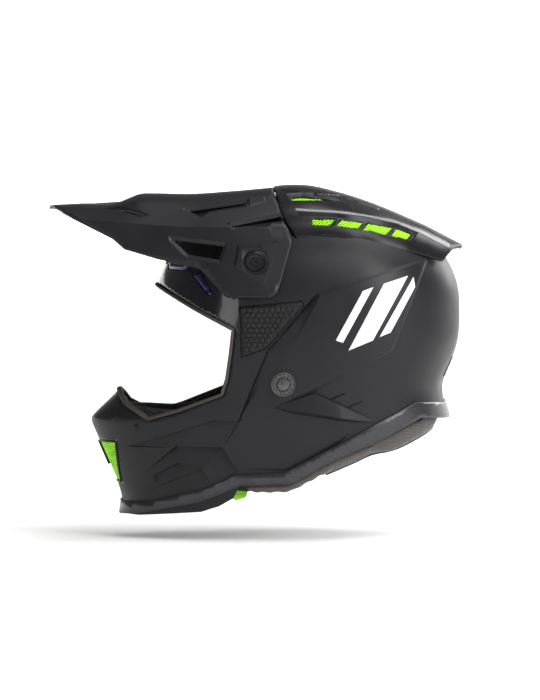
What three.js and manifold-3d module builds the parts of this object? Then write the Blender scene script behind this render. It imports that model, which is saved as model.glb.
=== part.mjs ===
// Motocross helmet: moulded shell with chin bar, adjustable peak, roof spoiler, vents, liner and chin strap.
// Millimetres, +Z up. The wearer faces -X and the wearer's left is -Y.
// The origin is midway between the wearer's ears, where the head holds the helmet.

import * as THREE from 'three';
import { mergeVertices } from 'three/addons/utils/BufferGeometryUtils.js';
import Module from 'manifold-3d';

const wasm = await Module();
wasm.setup();

// ---- Driving dimensions -------------------------------------------------------------------------------

const CROWN_X = -7; // middle of the crown, front to back
const CROWN_Z = 72.6; // height of the crown's widest level
const CROWN_FRONT = 144; // from the middle to the brow
const CROWN_BACK = 142.5; // from the middle to the back of the head
const CROWN_RISE = 102; // from the widest level to the top of the shell
const CROWN_HALF_WIDTH = 121;
const CROWN_ROUNDNESS = 2.2;

const WALL = 4; // shell thickness
const RAISED = 2; // how far the side panels stand proud of the shell
const GAP = 0.4; // clearance left between pieces that touch
const LEFT = -1;
const RIGHT = 1;

// Below the crown: height, then the value there.
const FRONT_LINE = [
  [72.6, -151], [-10, -184.7], [-36, -211.7], [-95, -186], [-111, -181], [-140, -185],
];
const REAR_LINE = [
  [72.6, 135.5], [52, 135.6], [35, 134], [17, 127.3], [0, 119.8], [-10, 118.6], [-29, 124], [-40, 127],
  [-140, 115],
];
const WIDTH_LINE = [[72.6, 121], [40, 122], [0, 118.5], [-40, 111], [-80, 104], [-140, 97]];

// ---- Outlines seen from the side: [x, z] --------------------------------------------------------------

const EYE_PORT = [
  [-240, 100], [-240, -9], [-184.7, -10.2], [-177.7, -21.6], [-154.7, -35.9], [-126, -27.5], [-84, -11.5],
  [-79, 4], [-75.5, 28], [-73, 50.8], [-110.5, 70.1], [-146.3, 90.4], [-151, 99],
];
const LOWER_EDGE = [
  [-183.6, -124.5], [-165.5, -125.2], [-105.6, -120], [-88.8, -114.4], [-76, -107], [-70, -94],
  [-22.6, -92.8], [20.7, -69.1], [55.4, -54.5], [97, -32.3], [124, -34],
];
const BAND_TOP = [
  [-181, -111.8], [-153.6, -110.3], [-103.2, -97], [-73.3, -83.3], [-28.2, -80.6], [92.8, -17.3],
  [117.2, -18.7],
];
const BAND_BOTTOM = [
  [-184, -124], [-165, -122], [-104, -109], [-68.6, -93.5], [-22.6, -92.3], [20.7, -68.6], [55.4, -54],
  [97, -31.8], [124, -33.5],
];
const SIDE_PANEL = [
  [2.8, 84], [102.5, 116], [104.5, 113], [74.5, 36], [70.5, 29], [0.7, -6.6], [-37, -22.8], [-72, -40],
  [-61, -19], [-16.5, 48],
];
const GRIP_PAD = [[-70.5, 71.4], [-11.3, 77.1], [-9.4, 73.3], [-45, 32], [-68.6, 23.5], [-69.5, 50.8]];
const ROOF = [
  [-36.6, 181.5], [-30.4, 157], [-17.6, 133.4], [20.7, 136], [63.9, 127.4], [102.8, 117.3], [126.5, 109.4],
  [138.1, 120.3], [138.1, 126], [107.2, 143.3], [63.9, 162], [23.7, 175.6], [-5.1, 182.3], [-23.8, 183],
];
const PEAK = [
  [-249.1, 164.5], [-249.1, 159.8], [-221.1, 148.9], [-186.8, 133.3], [-175.9, 123.9], [-146.3, 115.3],
  [-105.8, 106], [-74.5, 72.5], [-43.4, 77.5], [-34, 84.2], [-20, 133.3], [-32.5, 155.9], [-38.7, 182],
];
const PEAK_SIDE_VENT = [[-130.7, 132.5], [-83.9, 127.1], [-88.6, 114.6], [-116.7, 119.3]];
const CHEEK = [
  [-76, 11], [-83, -2], [-88, -16], [-100, -30], [-100, -78], [-88, -100], [-62, -102.5], [-47, -99],
  [-44, -40], [-44, 11],
];
const CHIN_LINER = [
  [-206, -40], [-184, -18], [-172, -22.5], [-136, -25.5], [-122, -24.5], [-104, -22], [-104, -110],
  [-178, -119], [-176, -100], [-184, -96],
];
const CROWN_LINER_CUT = [
  [-240, -150], [-240, 104], [-149, 103], [-110, 74.5], [-69, 54], [-70, 14], [-10, 14], [-10, -6], [16, -6],
  [24, -38], [62, -44], [98, -27], [150, -27], [150, -150],
];
const NECK_ROLL = [
  [2, -42], [24, -42], [62, -48], [98, -31], [120, -31], [108, -46.5], [72.7, -64.3], [54, -66.5],
  [6.4, -87.5], [3, -89],
];
const VENT_LIP = [
  [-18, 161], [30, 157.8], [70, 151], [97, 141.4], [126, 127.4], [126, 123.8], [96, 137], [72, 147.4],
  [45, 153], [19, 155.6], [-18, 157.6],
];
const BROW_VENT = [[-139, 112.6], [-118, 112.6], [-116.5, 106.4], [-122.6, 103.4], [-137, 104.2]];
const TEMPLE_VENT = [[-115, 100.6], [-105.5, 102], [-93.5, 81.4], [-98, 80.6]];
// Seen from the front and from the rear: [y, z].
const MOUTH_VENT = [[-40, -55], [40, -55], [33, -70], [20, -97], [-20, -97], [-33, -70]];
const REAR_VENT = [[-30, 4], [30, 4], [24, 22], [-24, 22]];

// Places of the fasteners seen from the side.
const RIVET = { x: -28.9, z: 0, shank: 3, flange: 11, cap: 5.5, tail: 5.2 };
const SCREW = { x: -54.7, z: 112.6, shank: 3, head: 9.1, boss: 11, spacer: 6, nut: 6.5 };
const TOP_SCREW = { x: -75, shank: 2.8, head: 7, spacer: 6.5, nut: 6.5 };
const HOLE_PLAY = 0.4; // how much wider than its shank a hole's radius is

// ---- Curves and solids --------------------------------------------------------------------------------

// The value at height z on a line of [height, value] points that runs downwards.
function along(line, z) {
  if (z >= line[0][0]) return line[0][1];
  for (let i = 1; i < line.length; i++) {
    const [z0, v0] = line[i - 1];
    const [z1, v1] = line[i];
    if (z >= z1) return v0 + ((v1 - v0) * (z0 - z)) / (z0 - z1);
  }
  return line.at(-1)[1];
}

const clamp01 = (t) => Math.min(1, Math.max(0, t));

// Half the helmet's width at side-view point (x, z), for the shell's outer face moved out by grow; 0 outside.
function halfWidth(x, z, grow = 0) {
  const v = (z - CROWN_Z) / (CROWN_RISE + grow);
  if (v >= 1) return 0;
  const dome = v > 0 ? Math.sqrt(1 - v * v) : 1;
  const width = v > 0
    ? (CROWN_HALF_WIDTH + grow) * (1 - v ** CROWN_ROUNDNESS) ** (1 / CROWN_ROUNDNESS)
    : along(WIDTH_LINE, z) + grow;
  const front = v > 0 ? CROWN_X - (CROWN_FRONT + grow) * dome : along(FRONT_LINE, z) - grow;
  const rear = v > 0 ? CROWN_X + (CROWN_BACK + grow) * dome : along(REAR_LINE, z) + grow;
  const low = clamp01((CROWN_Z - z) / 108);
  const middle = v > 0 ? CROWN_X + 17 * dome : 10 - 10 * low;
  const power = x < middle ? 2.2 - 0.35 * low : 2.3;
  const u = (x - middle) / ((x < middle ? front : rear) - middle);
  return u >= 1 ? 0 : width * (1 - u ** power) ** (1 / power);
}

function solid(geometry) {
  const bare = new THREE.BufferGeometry();
  bare.setAttribute('position', geometry.getAttribute('position').clone());
  if (geometry.index) bare.setIndex(geometry.index);
  const merged = mergeVertices(bare, 1e-4);
  return new wasm.Manifold(
    new wasm.Mesh({
      numProp: 3,
      vertProperties: new Float32Array(merged.attributes.position.array),
      triVerts: new Uint32Array(merged.index.array),
    }),
  );
}

function geometryOf(manifold) {
  const mesh = manifold.getMesh();
  const geometry = new THREE.BufferGeometry();
  geometry.setAttribute('position', new THREE.BufferAttribute(new Float32Array(mesh.vertProperties), 3));
  geometry.setIndex(new THREE.BufferAttribute(new Uint32Array(mesh.triVerts), 1));
  geometry.computeVertexNormals();
  return geometry;
}

// An outline extruded along Y between two values of y. Its points are [x, z].
function prism(outline, y0, y1) {
  const shape = new THREE.Shape(outline.map(([x, z]) => new THREE.Vector2(x, z)));
  const geometry = new THREE.ExtrudeGeometry(shape, { depth: y1 - y0, bevelEnabled: false });
  geometry.rotateX(Math.PI / 2);
  geometry.translate(0, y1, 0);
  return solid(geometry);
}

const through = (outline) => prism(outline, -180, 180);
const onSide = (outline, side) => (side === LEFT ? prism(outline, -180, -20) : prism(outline, 20, 180));

// An outline in the front view, [y, z], extruded along X.
function frontPrism(outline, x0, x1) {
  const shape = new THREE.Shape(outline.map(([y, z]) => new THREE.Vector2(y, z)));
  const geometry = new THREE.ExtrudeGeometry(shape, { depth: x1 - x0, bevelEnabled: false });
  geometry.rotateX(Math.PI / 2);
  geometry.rotateZ(Math.PI / 2);
  geometry.translate(x0, 0, 0);
  return solid(geometry);
}

// An outline in the top view, [x, y], extruded along Z.
function topPrism(outline, z0, z1) {
  const shape = new THREE.Shape(outline.map(([x, y]) => new THREE.Vector2(x, y)));
  const geometry = new THREE.ExtrudeGeometry(shape, { depth: z1 - z0, bevelEnabled: false });
  geometry.translate(0, 0, z0);
  return solid(geometry);
}

// A round bar along Y.
function bar(x, z, radius, y0, y1, sides = 20) {
  const geometry = new THREE.CylinderGeometry(radius, radius, y1 - y0, sides);
  geometry.translate(x, (y0 + y1) / 2, z);
  return solid(geometry);
}

// An outline moved in by d at every edge; a negative d moves it out.
function inset(outline, d) {
  const area = outline.reduce((sum, [x, z], i) => {
    const [nx, nz] = outline[(i + 1) % outline.length];
    return sum + x * nz - nx * z;
  }, 0);
  const turn = Math.sign(area);
  const n = outline.length;
  return outline.map((p, i) => {
    const before = outline[(i + n - 1) % n];
    const after = outline[(i + 1) % n];
    const a = new THREE.Vector2(p[0] - before[0], p[1] - before[1]).normalize();
    const b = new THREE.Vector2(after[0] - p[0], after[1] - p[1]).normalize();
    const inA = new THREE.Vector2(-a.y, a.x).multiplyScalar(turn);
    const inB = new THREE.Vector2(-b.y, b.x).multiplyScalar(turn);
    const mid = inA.clone().add(inB).normalize();
    const reach = d / Math.max(0.35, mid.dot(inA));
    return [p[0] + mid.x * reach, p[1] + mid.y * reach];
  });
}

// ---- The helmet's outer form as a closed solid, moved out by grow --------------------------------------

const FORM_CENTRE = { x: -12, z: 20 };
const FORM_FLOOR = -138;
const RINGS = 14; // from side to side
const SPOKES = 28; // round the side view, besides those through the corners of the front line

const spokeAngles = (() => {
  const corners = FRONT_LINE.slice(1, 5).map(([z, x]) => Math.atan2(z - FORM_CENTRE.z, x - FORM_CENTRE.x));
  const even = Array.from({ length: SPOKES }, (_, i) => -Math.PI + (2 * Math.PI * (i + 0.5)) / SPOKES);
  const apart = even.filter((a) => corners.every((c) => Math.abs(a - c) > 0.05));
  return [...apart, ...corners].sort((a, b) => a - b);
})();

function reachOf(direction, grow) {
  let low = 0;
  let high = 330;
  for (let i = 0; i < 34; i++) {
    const r = (low + high) / 2;
    const x = FORM_CENTRE.x + direction.x * r;
    const z = FORM_CENTRE.z + direction.z * r;
    const inside = z > FORM_FLOOR - grow && Math.abs(direction.y * r) < halfWidth(x, z, grow);
    if (inside) low = r;
    else high = r;
  }
  return low;
}

const forms = new Map();
function form(grow) {
  if (forms.has(grow)) return forms.get(grow);
  const points = [];
  const push = (direction) => {
    const r = reachOf(direction, grow);
    points.push(FORM_CENTRE.x + direction.x * r, direction.y * r, FORM_CENTRE.z + direction.z * r);
  };
  push(new THREE.Vector3(0, -1, 0));
  for (let i = 1; i < RINGS; i++) {
    const a = (Math.PI * i) / RINGS;
    for (const b of spokeAngles) {
      push(new THREE.Vector3(Math.sin(a) * Math.cos(b), -Math.cos(a), Math.sin(a) * Math.sin(b)));
    }
  }
  push(new THREE.Vector3(0, 1, 0));
  const n = spokeAngles.length;
  const last = points.length / 3 - 1;
  const faces = [];
  for (let j = 0; j < n; j++) {
    const k = (j + 1) % n;
    faces.push(0, 1 + j, 1 + k);
    for (let i = 0; i < RINGS - 2; i++) {
      const a = 1 + i * n;
      faces.push(a + j, a + n + j, a + k, a + k, a + n + j, a + n + k);
    }
    const a = 1 + (RINGS - 2) * n;
    faces.push(a + j, last, a + k);
  }
  const geometry = new THREE.BufferGeometry();
  geometry.setAttribute('position', new THREE.Float32BufferAttribute(points, 3));
  geometry.setIndex(faces);
  const made = solid(geometry);
  forms.set(grow, made);
  return made;
}

// The layer between two offsets of the form, inside an outline seen from the side.
const layer = (outline, outer, inner, side) =>
  form(outer).subtract(form(inner)).intersect(side ? onSide(outline, side) : through(outline));

// ---- Materials and the group --------------------------------------------------------------------------

const material = (color, roughness, metalness = 0) =>
  new THREE.MeshStandardMaterial({ color, roughness, metalness });
const SHELL_BLACK = material(0x141416, 0.55);
const PEAK_BLACK = material(0x17171a, 0.5);
const TRIM_GREY = material(0x3a3a3e, 0.45, 0.4);
const RUBBER = material(0x2a2624, 0.8);
const FOAM = material(0x1c1c1e, 0.95);
const FABRIC = material(0x202024, 0.95);
const NEON = material(0xa8e61c, 0.6);
const STEEL = material(0x8a8a8e, 0.3, 0.9);
const SCREW_BLACK = material(0x101010, 0.35);
const SMOKED = material(0x3c3c56, 0.12);
const WEBBING = material(0x121214, 0.9);

const helmet = new THREE.Group();
helmet.name = 'motocross_helmet';

function add(name, shape, look) {
  const mesh = new THREE.Mesh(geometryOf(shape), look);
  mesh.name = name;
  helmet.add(mesh);
}

// ---- Head space ---------------------------------------------------------------------------------------

const HEAD = { x: -4, z: 20, rx: 106, ry: 86, top: 138 };

// The space inside the foam, open downwards, shrunk by in.
function headSpace(shrink) {
  const profile = [new THREE.Vector2(0, -170), new THREE.Vector2(1, -170)];
  const steps = 9;
  for (let i = 0; i <= steps; i++) {
    const a = (Math.PI / 2) * (i / steps);
    profile.push(new THREE.Vector2(i === steps ? 0 : Math.cos(a), Math.sin(a)));
  }
  const geometry = new THREE.LatheGeometry(profile, 32);
  const position = geometry.getAttribute('position');
  for (let i = 0; i < position.count; i++) {
    const up = position.getY(i);
    position.setXYZ(
      i,
      HEAD.x + position.getX(i) * (HEAD.rx - shrink),
      -position.getZ(i) * (HEAD.ry - shrink),
      up > 0 ? HEAD.z + up * (HEAD.top - HEAD.z - shrink) : HEAD.z + up,
    );
  }
  return solid(geometry);
}

// ---- Roof spoiler and its vents -----------------------------------------------------------------------

const VENT_WINDOWS = [
  [[-1.5, 152.8], [19.5, 153.6], [14.5, 146.8], [-3, 146.4]],
  [[25.2, 153.2], [45.5, 150.8], [40.5, 143.6], [20.2, 146.4]],
  [[50, 150.2], [72.5, 146], [66.5, 138.4], [44.6, 142.6]],
  [[76, 145.2], [88, 141.6], [90.5, 137.6], [84, 132.8], [71.5, 137.2]],
];
const TOP_SLOT = [[-23, 172.6], [-21, 169], [6, 169.4], [22, 168.6], [6, 172.4], [-12, 173.6]];

// The roof's outer surface: at each x a smooth arch over the crown, moved out by grow.
const ROOF_STATIONS = [
  // x, half width, foot height, top height
  [-42, 98, 130, 181.5], [-24, 99.5, 132, 183], [-5, 100, 133, 182.3], [24, 100, 132, 175.6],
  [44, 97, 128.5, 169.5], [64, 93.5, 124, 162], [86, 84.5, 118.5, 152.6], [107, 70, 112.5, 143.3],
  [124, 57, 108, 134], [140, 49, 108, 126],
];

function roofForm(grow = 0) {
  const steps = 14;
  const points = [];
  const arch = ([x, w, foot, top]) => {
    for (let i = 0; i <= steps; i++) {
      const a = Math.PI * (i / steps);
      const c = Math.cos(a);
      const y = (w + grow) * Math.sign(c) * Math.abs(c) ** 0.94;
      points.push(x, y, foot + (top + grow - foot) * Math.sin(a) ** 0.86);
    }
    points.push(x, -w - grow, 80, x, w + grow, 80);
  };
  ROOF_STATIONS.forEach(arch);
  const n = steps + 3;
  const faces = [];
  for (let s = 0; s < ROOF_STATIONS.length - 1; s++) {
    for (let i = 0; i < n; i++) {
      const j = (i + 1) % n;
      const a = s * n;
      faces.push(a + i, a + j, a + n + i, a + j, a + n + j, a + n + i);
    }
  }
  const end = (ROOF_STATIONS.length - 1) * n;
  for (let i = 1; i < n - 1; i++) {
    faces.push(0, i + 1, i);
    faces.push(end, end + i, end + i + 1);
  }
  const geometry = new THREE.BufferGeometry();
  geometry.setAttribute('position', new THREE.Float32BufferAttribute(points, 3));
  geometry.setIndex(faces);
  return solid(geometry);
}

// The tail ends in a shallow arrow seen from above, and it tapers to its side edges.
const ROOF_PLAN = [
  [-60, -120], [100, -120], [104, -72], [119, -60], [138.3, -22], [138.3, 22], [119, 60], [104, 72],
  [100, 120], [-60, 120],
];

const MESH_STRIP = [
  [-5, 155.5], [20, 156.5], [48, 153.6], [76, 147.6], [92, 142], [92, 133], [84, 129.5], [44, 139],
  [-6, 143.4],
];

function roofSpoiler() {
  let roof = roofForm().intersect(through(ROOF)).intersect(topPrism(ROOF_PLAN, 90, 200));
  roof = roof.subtract(form(GAP));
  for (const window of [...VENT_WINDOWS, TOP_SLOT]) roof = roof.subtract(through(window));
  roof = roof.subtract(form(2.8).intersect(through(inset(MESH_STRIP, -0.4))));
  roof = roof.subtract(roofForm(4).subtract(roofForm(-1.4)).intersect(through(inset(VENT_LIP, -0.3))));
  const tailHollow = topPrism([[108, -40], [150, -40], [150, 40], [108, 40]], 70, 119);
  return roof.subtract(tailHollow);
}

// Mesh behind the row of side windows, held in a pocket of the roof.
const sideMesh = (side) => layer(MESH_STRIP, 2.4, 0.8, side).intersect(roofForm(-1.8));

const ventLip = (side) =>
  roofForm(0.5)
    .subtract(roofForm(-1.1))
    .intersect(onSide(VENT_LIP, side))
    .intersect(topPrism(ROOF_PLAN, 90, 200));

// ---- Peak ---------------------------------------------------------------------------------------------

// At each x: height at the middle, height of the ridges, then the shoulder, the crease and the side wall's
// foot as [y, z].
const RIDGE_Y = 32;
const PEAK_STATIONS = [
  [-253, 162.5, 163.2, [52, 161], [74, 156.5], [82, 146]],
  [-221, 163.6, 165, [60, 161.5], [82, 151.3], [88, 118]],
  [-184, 163, 166.5, [61, 163], [89, 149], [98, 108]],
  [-174, 165.2, 170.5, [62, 166], [91, 148.4], [100, 104]],
  [-161, 168, 174.8, [63, 168.6], [94, 147], [103, 98]],
  [-121, 168, 174.2, [65, 168], [99.5, 144.6], [109, 86]],
  [-80, 170.6, 176.6, [67, 170.4], [104, 144], [120.5, 80]],
  [-54.7, 173, 178.8, [68, 172.2], [105.2, 143.6], [124.2, 80]],
  [-16, 177, 182.6, [69, 175], [106, 142.4], [125, 80]],
];
const PEAK_WALL = 3;
const PEAK_PLAN = [
  [-249.2, -12], [-247.5, -30], [-242, -48], [-233, -65], [-221, -80], [-215, -130], [0, -130], [0, 130],
  [-215, 130], [-221, 80], [-233, 65], [-242, 48], [-247.5, 30], [-249.2, 12],
];
const SCREW_PLATE = [[-71, 127], [-31, 132], [-45.5, 89.5], [-74.5, 108]];
const PEAK_FRONT_SLOT = [
  [-202, 162], [-174, 160.4], [-168.5, 159.5], [-154.3, 155], [-163, 154.6], [-178, 158.4],
];
const PEAK_REAR_SLOT = [[-117, 160], [-64.2, 167.4], [-65.4, 164.8], [-98.2, 159.6], [-106.4, 155]];
const PEAK_SIDE_SLOT = [[-78, 145], [-32, 154.4], [-29, 150.4], [-76, 143.6]];

// One closed section of the peak: across the outer face, then back along the inner face.
function peakSection([x, middle, ridge, shoulder, crease, foot], grow, wall) {
  const half = [[0, middle], [RIDGE_Y, ridge], shoulder, crease, foot];
  const outer = [...half.slice(1).reverse().map(([y, z]) => [-y, z]), ...half];
  const shifted = (d) =>
    outer.map(([y, z], i) => {
      const [y0, z0] = outer[Math.max(0, i - 1)];
      const [y1, z1] = outer[Math.min(outer.length - 1, i + 1)];
      const across = Math.hypot(y1 - y0, z1 - z0);
      return [x, y - (d * (z1 - z0)) / across, z + (d * (y1 - y0)) / across];
    });
  return [...shifted(grow), ...shifted(-wall).reverse()];
}

// A solid through closed sections that all have the same number of points.
function loft(sections) {
  const n = sections[0].length;
  const points = sections.flat(2);
  const faces = [];
  for (let s = 0; s < sections.length - 1; s++) {
    for (let i = 0; i < n; i++) {
      const a = s * n + i;
      const b = s * n + ((i + 1) % n);
      faces.push(a, b, a + n, b, b + n, a + n);
    }
  }
  const end = (sections.length - 1) * n;
  for (let i = 0; i < n / 2 - 1; i++) {
    const j = n - 1 - i;
    faces.push(i, j, i + 1, i + 1, j, j - 1);
    faces.push(end + i, end + i + 1, end + j, end + i + 1, end + j - 1, end + j);
  }
  const geometry = new THREE.BufferGeometry();
  geometry.setAttribute('position', new THREE.Float32BufferAttribute(points, 3));
  geometry.setIndex(faces);
  const made = solid(geometry);
  if (made.volume() > 0) return made;
  geometry.setIndex(faces.reverse());
  return solid(geometry);
}

const peakForm = (grow, wall) => loft(PEAK_STATIONS.map((station) => peakSection(station, grow, wall)));

const PEAK_FACE = 113.8; // y of the peak's outer face at the side screws
const BOSS_FACE = 111.4; // y of the inner end of the bosses round those screws
const PLATE_RISE = 1.4; // how far the screw plate stands proud of the peak's side

function peak() {
  let blade = peakForm(0, PEAK_WALL).intersect(through(PEAK)).intersect(topPrism(PEAK_PLAN, 40, 210));
  const sideHole = SCREW.shank + HOLE_PLAY;
  for (const side of [LEFT, RIGHT]) {
    blade = blade.add(peakForm(PLATE_RISE, 0.5).intersect(onSide(SCREW_PLATE, side)));
    blade = blade.add(sideBar(SCREW.x, SCREW.z, SCREW.boss, BOSS_FACE, PEAK_FACE + PLATE_RISE, side));
    blade = blade.subtract(sideBar(SCREW.x, SCREW.z, SCREW.spacer + 1, 90, BOSS_FACE, side));
    blade = blade.subtract(sideBar(SCREW.x, SCREW.z, SCREW.head + 0.5, PEAK_FACE, 130, side));
    blade = blade.subtract(sideBar(SCREW.x, SCREW.z, sideHole, 90, 130, side, 16));
    for (const opening of [PEAK_SIDE_VENT, PEAK_SIDE_SLOT, PEAK_FRONT_SLOT, PEAK_REAR_SLOT]) {
      blade = blade.subtract(onSide(opening, side));
    }
  }
  return blade.subtract(topPrism([[-79, -3.5], [-61, -3.5], [-61, 3.5], [-79, 3.5]], 150, 200));
}

// A round bar along Y on one side, between two distances from the middle plane.
function sideBar(x, z, radius, inner, outer, side, sides = 20) {
  return side === LEFT ? bar(x, z, radius, -outer, -inner, sides) : bar(x, z, radius, inner, outer, sides);
}

function peakScrew(side) {
  const head = sideBar(SCREW.x, SCREW.z, SCREW.head, PEAK_FACE + 0.3, PEAK_FACE + 3, side, 24);
  const shank = sideBar(SCREW.x, SCREW.z, SCREW.shank, 87.5, PEAK_FACE + 1, side, 12);
  const slot = prism([[-61, 112], [-48.4, 112], [-48.4, 113.2], [-61, 113.2]], -130, 130);
  const cut = slot.intersect(sideBar(SCREW.x, SCREW.z, 20, PEAK_FACE + 1.8, 130, side));
  return head.add(shank).subtract(cut);
}

function peakSpacer(side) {
  const ring = sideBar(SCREW.x, SCREW.z, SCREW.spacer, 100, BOSS_FACE - GAP, side, 16);
  const hole = sideBar(SCREW.x, SCREW.z, SCREW.shank + HOLE_PLAY, 90, 120, side, 12);
  return ring.subtract(hole).subtract(form(GAP));
}

function peakNut(side) {
  const hole = sideBar(SCREW.x, SCREW.z, SCREW.shank + 0.3, 80, 120, side, 12);
  return sideBar(SCREW.x, SCREW.z, SCREW.nut, 88.5, 93, side, 6).subtract(hole);
}

// A round bar along Z.
function post(x, y, radius, z0, z1, sides = 20) {
  const geometry = new THREE.CylinderGeometry(radius, radius, z1 - z0, sides);
  geometry.rotateX(Math.PI / 2);
  geometry.translate(x, y, (z0 + z1) / 2);
  return solid(geometry);
}

function topScrew() {
  const head = post(TOP_SCREW.x, 0, TOP_SCREW.head, 172.5, 174.8, 24);
  return head.add(post(TOP_SCREW.x, 0, TOP_SCREW.shank, 148.6, 173, 12));
}

const topScrewHole = () => post(TOP_SCREW.x, 0, TOP_SCREW.shank + HOLE_PLAY, 140, 180, 12);
const topSpacer = () =>
  post(TOP_SCREW.x, 0, TOP_SCREW.spacer, 155, 164.8, 16).subtract(topScrewHole()).subtract(form(GAP));
const topNut = () => post(TOP_SCREW.x, 0, TOP_SCREW.nut, 149.6, 154, 6).subtract(topScrewHole());

// ---- Shell --------------------------------------------------------------------------------------------

const BELOW_SHELL = [...LOWER_EDGE, [160, -34], [160, -170], [-260, -170], [-260, -124.5]];
const BAND = [
  [-260, -112.5], ...BAND_TOP, [160, -18.7], [160, -33.5], ...[...BAND_BOTTOM].reverse(), [-260, -124],
];

function outerShell() {
  let body = form(0).add(form(RAISED).intersect(through(SIDE_PANEL))).subtract(form(-WALL));
  body = body.subtract(through(EYE_PORT)).subtract(through(BELOW_SHELL));
  const skin = form(6).subtract(form(-1.9));
  for (const inlay of [GRIP_PAD, BROW_VENT, TEMPLE_VENT]) {
    body = body.subtract(skin.intersect(through(inset(inlay, -0.3))));
  }
  for (const side of [LEFT, RIGHT]) {
    body = body.subtract(sideBar(RIVET.x, RIVET.z, RIVET.shank + HOLE_PLAY, 80, 130, side, 16));
    body = body.subtract(sideBar(SCREW.x, SCREW.z, SCREW.shank + HOLE_PLAY, 80, 130, side, 16));
  }
  body = body.subtract(topScrewHole());
  body = body.subtract(frontPrism(REAR_VENT, 60, 200));
  return body.subtract(frontPrism(MOUTH_VENT, -250, -120));
}

const eyePortTrim = () => {
  const ring = through(inset(EYE_PORT, 0.3)).subtract(through(inset(EYE_PORT, 3.3)));
  return form(1.4).subtract(form(-6)).intersect(ring);
};

const baseTrim = () => form(1.6).subtract(form(0.35)).intersect(through(BAND));

// A wedge fin low on the shell's side: top edge, crease and lower edge, each [x, z], and the crease's rise.
const FIN_STATIONS = [
  [[-36.7, -23.6], [-36.7, -24], 1.2, [-36.7, -24.4]],
  [[-18, -15.9], [-18, -27.2], 5.5, [-18, -29.8]],
  [[0.6, -8.2], [0.6, -29.4], 9, [0.6, -34.6]],
  [[24, -19.6], [24, -32], 8, [24, -36.4]],
  [[46.7, -30.2], [46.7, -34.2], 3, [46.7, -36.2]],
  [[57.5, -34.9], [57.5, -35.2], 1.2, [57.5, -35.6]],
];

function sideFin(side) {
  const sections = FIN_STATIONS.map(([top, crease, rise, low]) => {
    const y = (p, more) => halfWidth(p[0], p[1]) + more;
    const section = [
      [top[0], 70, top[1]], [top[0], y(top, 0.8), top[1]],
      [crease[0], y(crease, rise), crease[1]],
      [low[0], y(low, 0.8), low[1]], [low[0], 70, low[1]], [low[0], 69, (top[1] + low[1]) / 2],
    ];
    return section.map(([x, y0, z]) => [x, y0 * side, z]);
  });
  return loft(sections).subtract(form(GAP));
}

const inlay = (outline, side) => layer(outline, 0.2, -1.5, side);

function mouthFrame() {
  const opening = inset(MOUTH_VENT, 0.4);
  const window = inset(MOUTH_VENT, 4);
  let frame = form(1.4).subtract(form(-5)).intersect(frontPrism(opening, -250, -120));
  frame = frame.subtract(frontPrism(window, -250, -120));
  const barOutline = [[-4, -56], [4, -56], [4, -96.5], [-4, -96.5]];
  const centreBar = form(0.8).subtract(form(-4.6)).intersect(frontPrism(barOutline, -250, -120));
  return frame.add(centreBar);
}

const mouthMesh = () =>
  form(-5.4).subtract(form(-7)).intersect(frontPrism(inset(MOUTH_VENT, 1), -250, -120));

function rearVent() {
  let grille = form(0.8).subtract(form(-3.6)).intersect(frontPrism(inset(REAR_VENT, 0.4), 60, 200));
  for (const z of [7.5, 13, 18.5]) {
    const slit = [[-20, z - 1.6], [20, z - 1.6], [19, z + 1.2], [-19, z + 1.2]];
    grille = grille.subtract(frontPrism(slit, 60, 200));
  }
  return grille;
}

// ---- Liner --------------------------------------------------------------------------------------------

function crownLiner() {
  let foam = form(-WALL - GAP).subtract(headSpace(0)).subtract(through(CROWN_LINER_CUT));
  foam = foam.subtract(post(TOP_SCREW.x, 0, 8, 146, 180, 12));
  for (const side of [LEFT, RIGHT]) foam = foam.subtract(sideBar(SCREW.x, SCREW.z, 8, 86.5, 140, side, 12));
  return foam.subtract(frontPrism(inset(REAR_VENT, -1), 110, 200));
}

// The foam of the chin bar. Where it rises into the eye port it stays inside the port's trim.
function chinLiner() {
  const behindShell = form(-WALL - GAP).subtract(through(EYE_PORT));
  const foam = behindShell.add(form(-6.8)).subtract(form(-23)).intersect(through(CHIN_LINER));
  return foam.subtract(frontPrism(inset(MOUTH_VENT, -3), -250, -120));
}

const comfort = (outline) => headSpace(GAP).subtract(headSpace(8.4)).intersect(through(outline));
const BROW_PAD = [[-120, 60], [-69.5, 56], [-64, 60], [-64, 100], [-120, 106]];
const CROWN_PAD = [[-60, 104], [60, 92], [60, 160], [-60, 160]];
const NAPE_PAD = [[26, -30], [64, -36], [110, -20], [110, 84], [26, 84]];

const neckRoll = () => form(-5).subtract(form(-26)).intersect(through(NECK_ROLL));

const FACE_SIDE = 66; // y of the cheek pads' inner faces
function cheekPad(side) {
  const width = side === LEFT ? prism(CHEEK, -180, -FACE_SIDE) : prism(CHEEK, FACE_SIDE, 180);
  return form(-8).intersect(width);
}
const cheekPlate = (side) => layer(inset(CHEEK, 2), -5.2, -7.6, side);

function releaseTab(side) {
  const outline = [[-75.6, -103.3], [-62.6, -103.3], [-63.4, -110.8], [-74.8, -110.8]];
  return side === LEFT ? prism(outline, -82, -79.4) : prism(outline, 79.4, 82);
}

// ---- Chin strap ---------------------------------------------------------------------------------------

const STRAP_X = [-39.4, -18.4];
const STRAP_THICKNESS = 2.2;

// A strip of webbing that follows a path of [y, z] points in the front view.
function webbing(path, thickness = STRAP_THICKNESS) {
  const side = (d) =>
    path.map(([y, z], i) => {
      const [y0, z0] = path[Math.max(0, i - 1)];
      const [y1, z1] = path[Math.min(path.length - 1, i + 1)];
      const length = Math.hypot(y1 - y0, z1 - z0);
      return [y - (d * (z1 - z0)) / length, z + (d * (y1 - y0)) / length];
    });
  const outline = [...side(thickness / 2), ...side(-thickness / 2).reverse()];
  return frontPrism(outline, STRAP_X[0], STRAP_X[1]);
}

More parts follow.
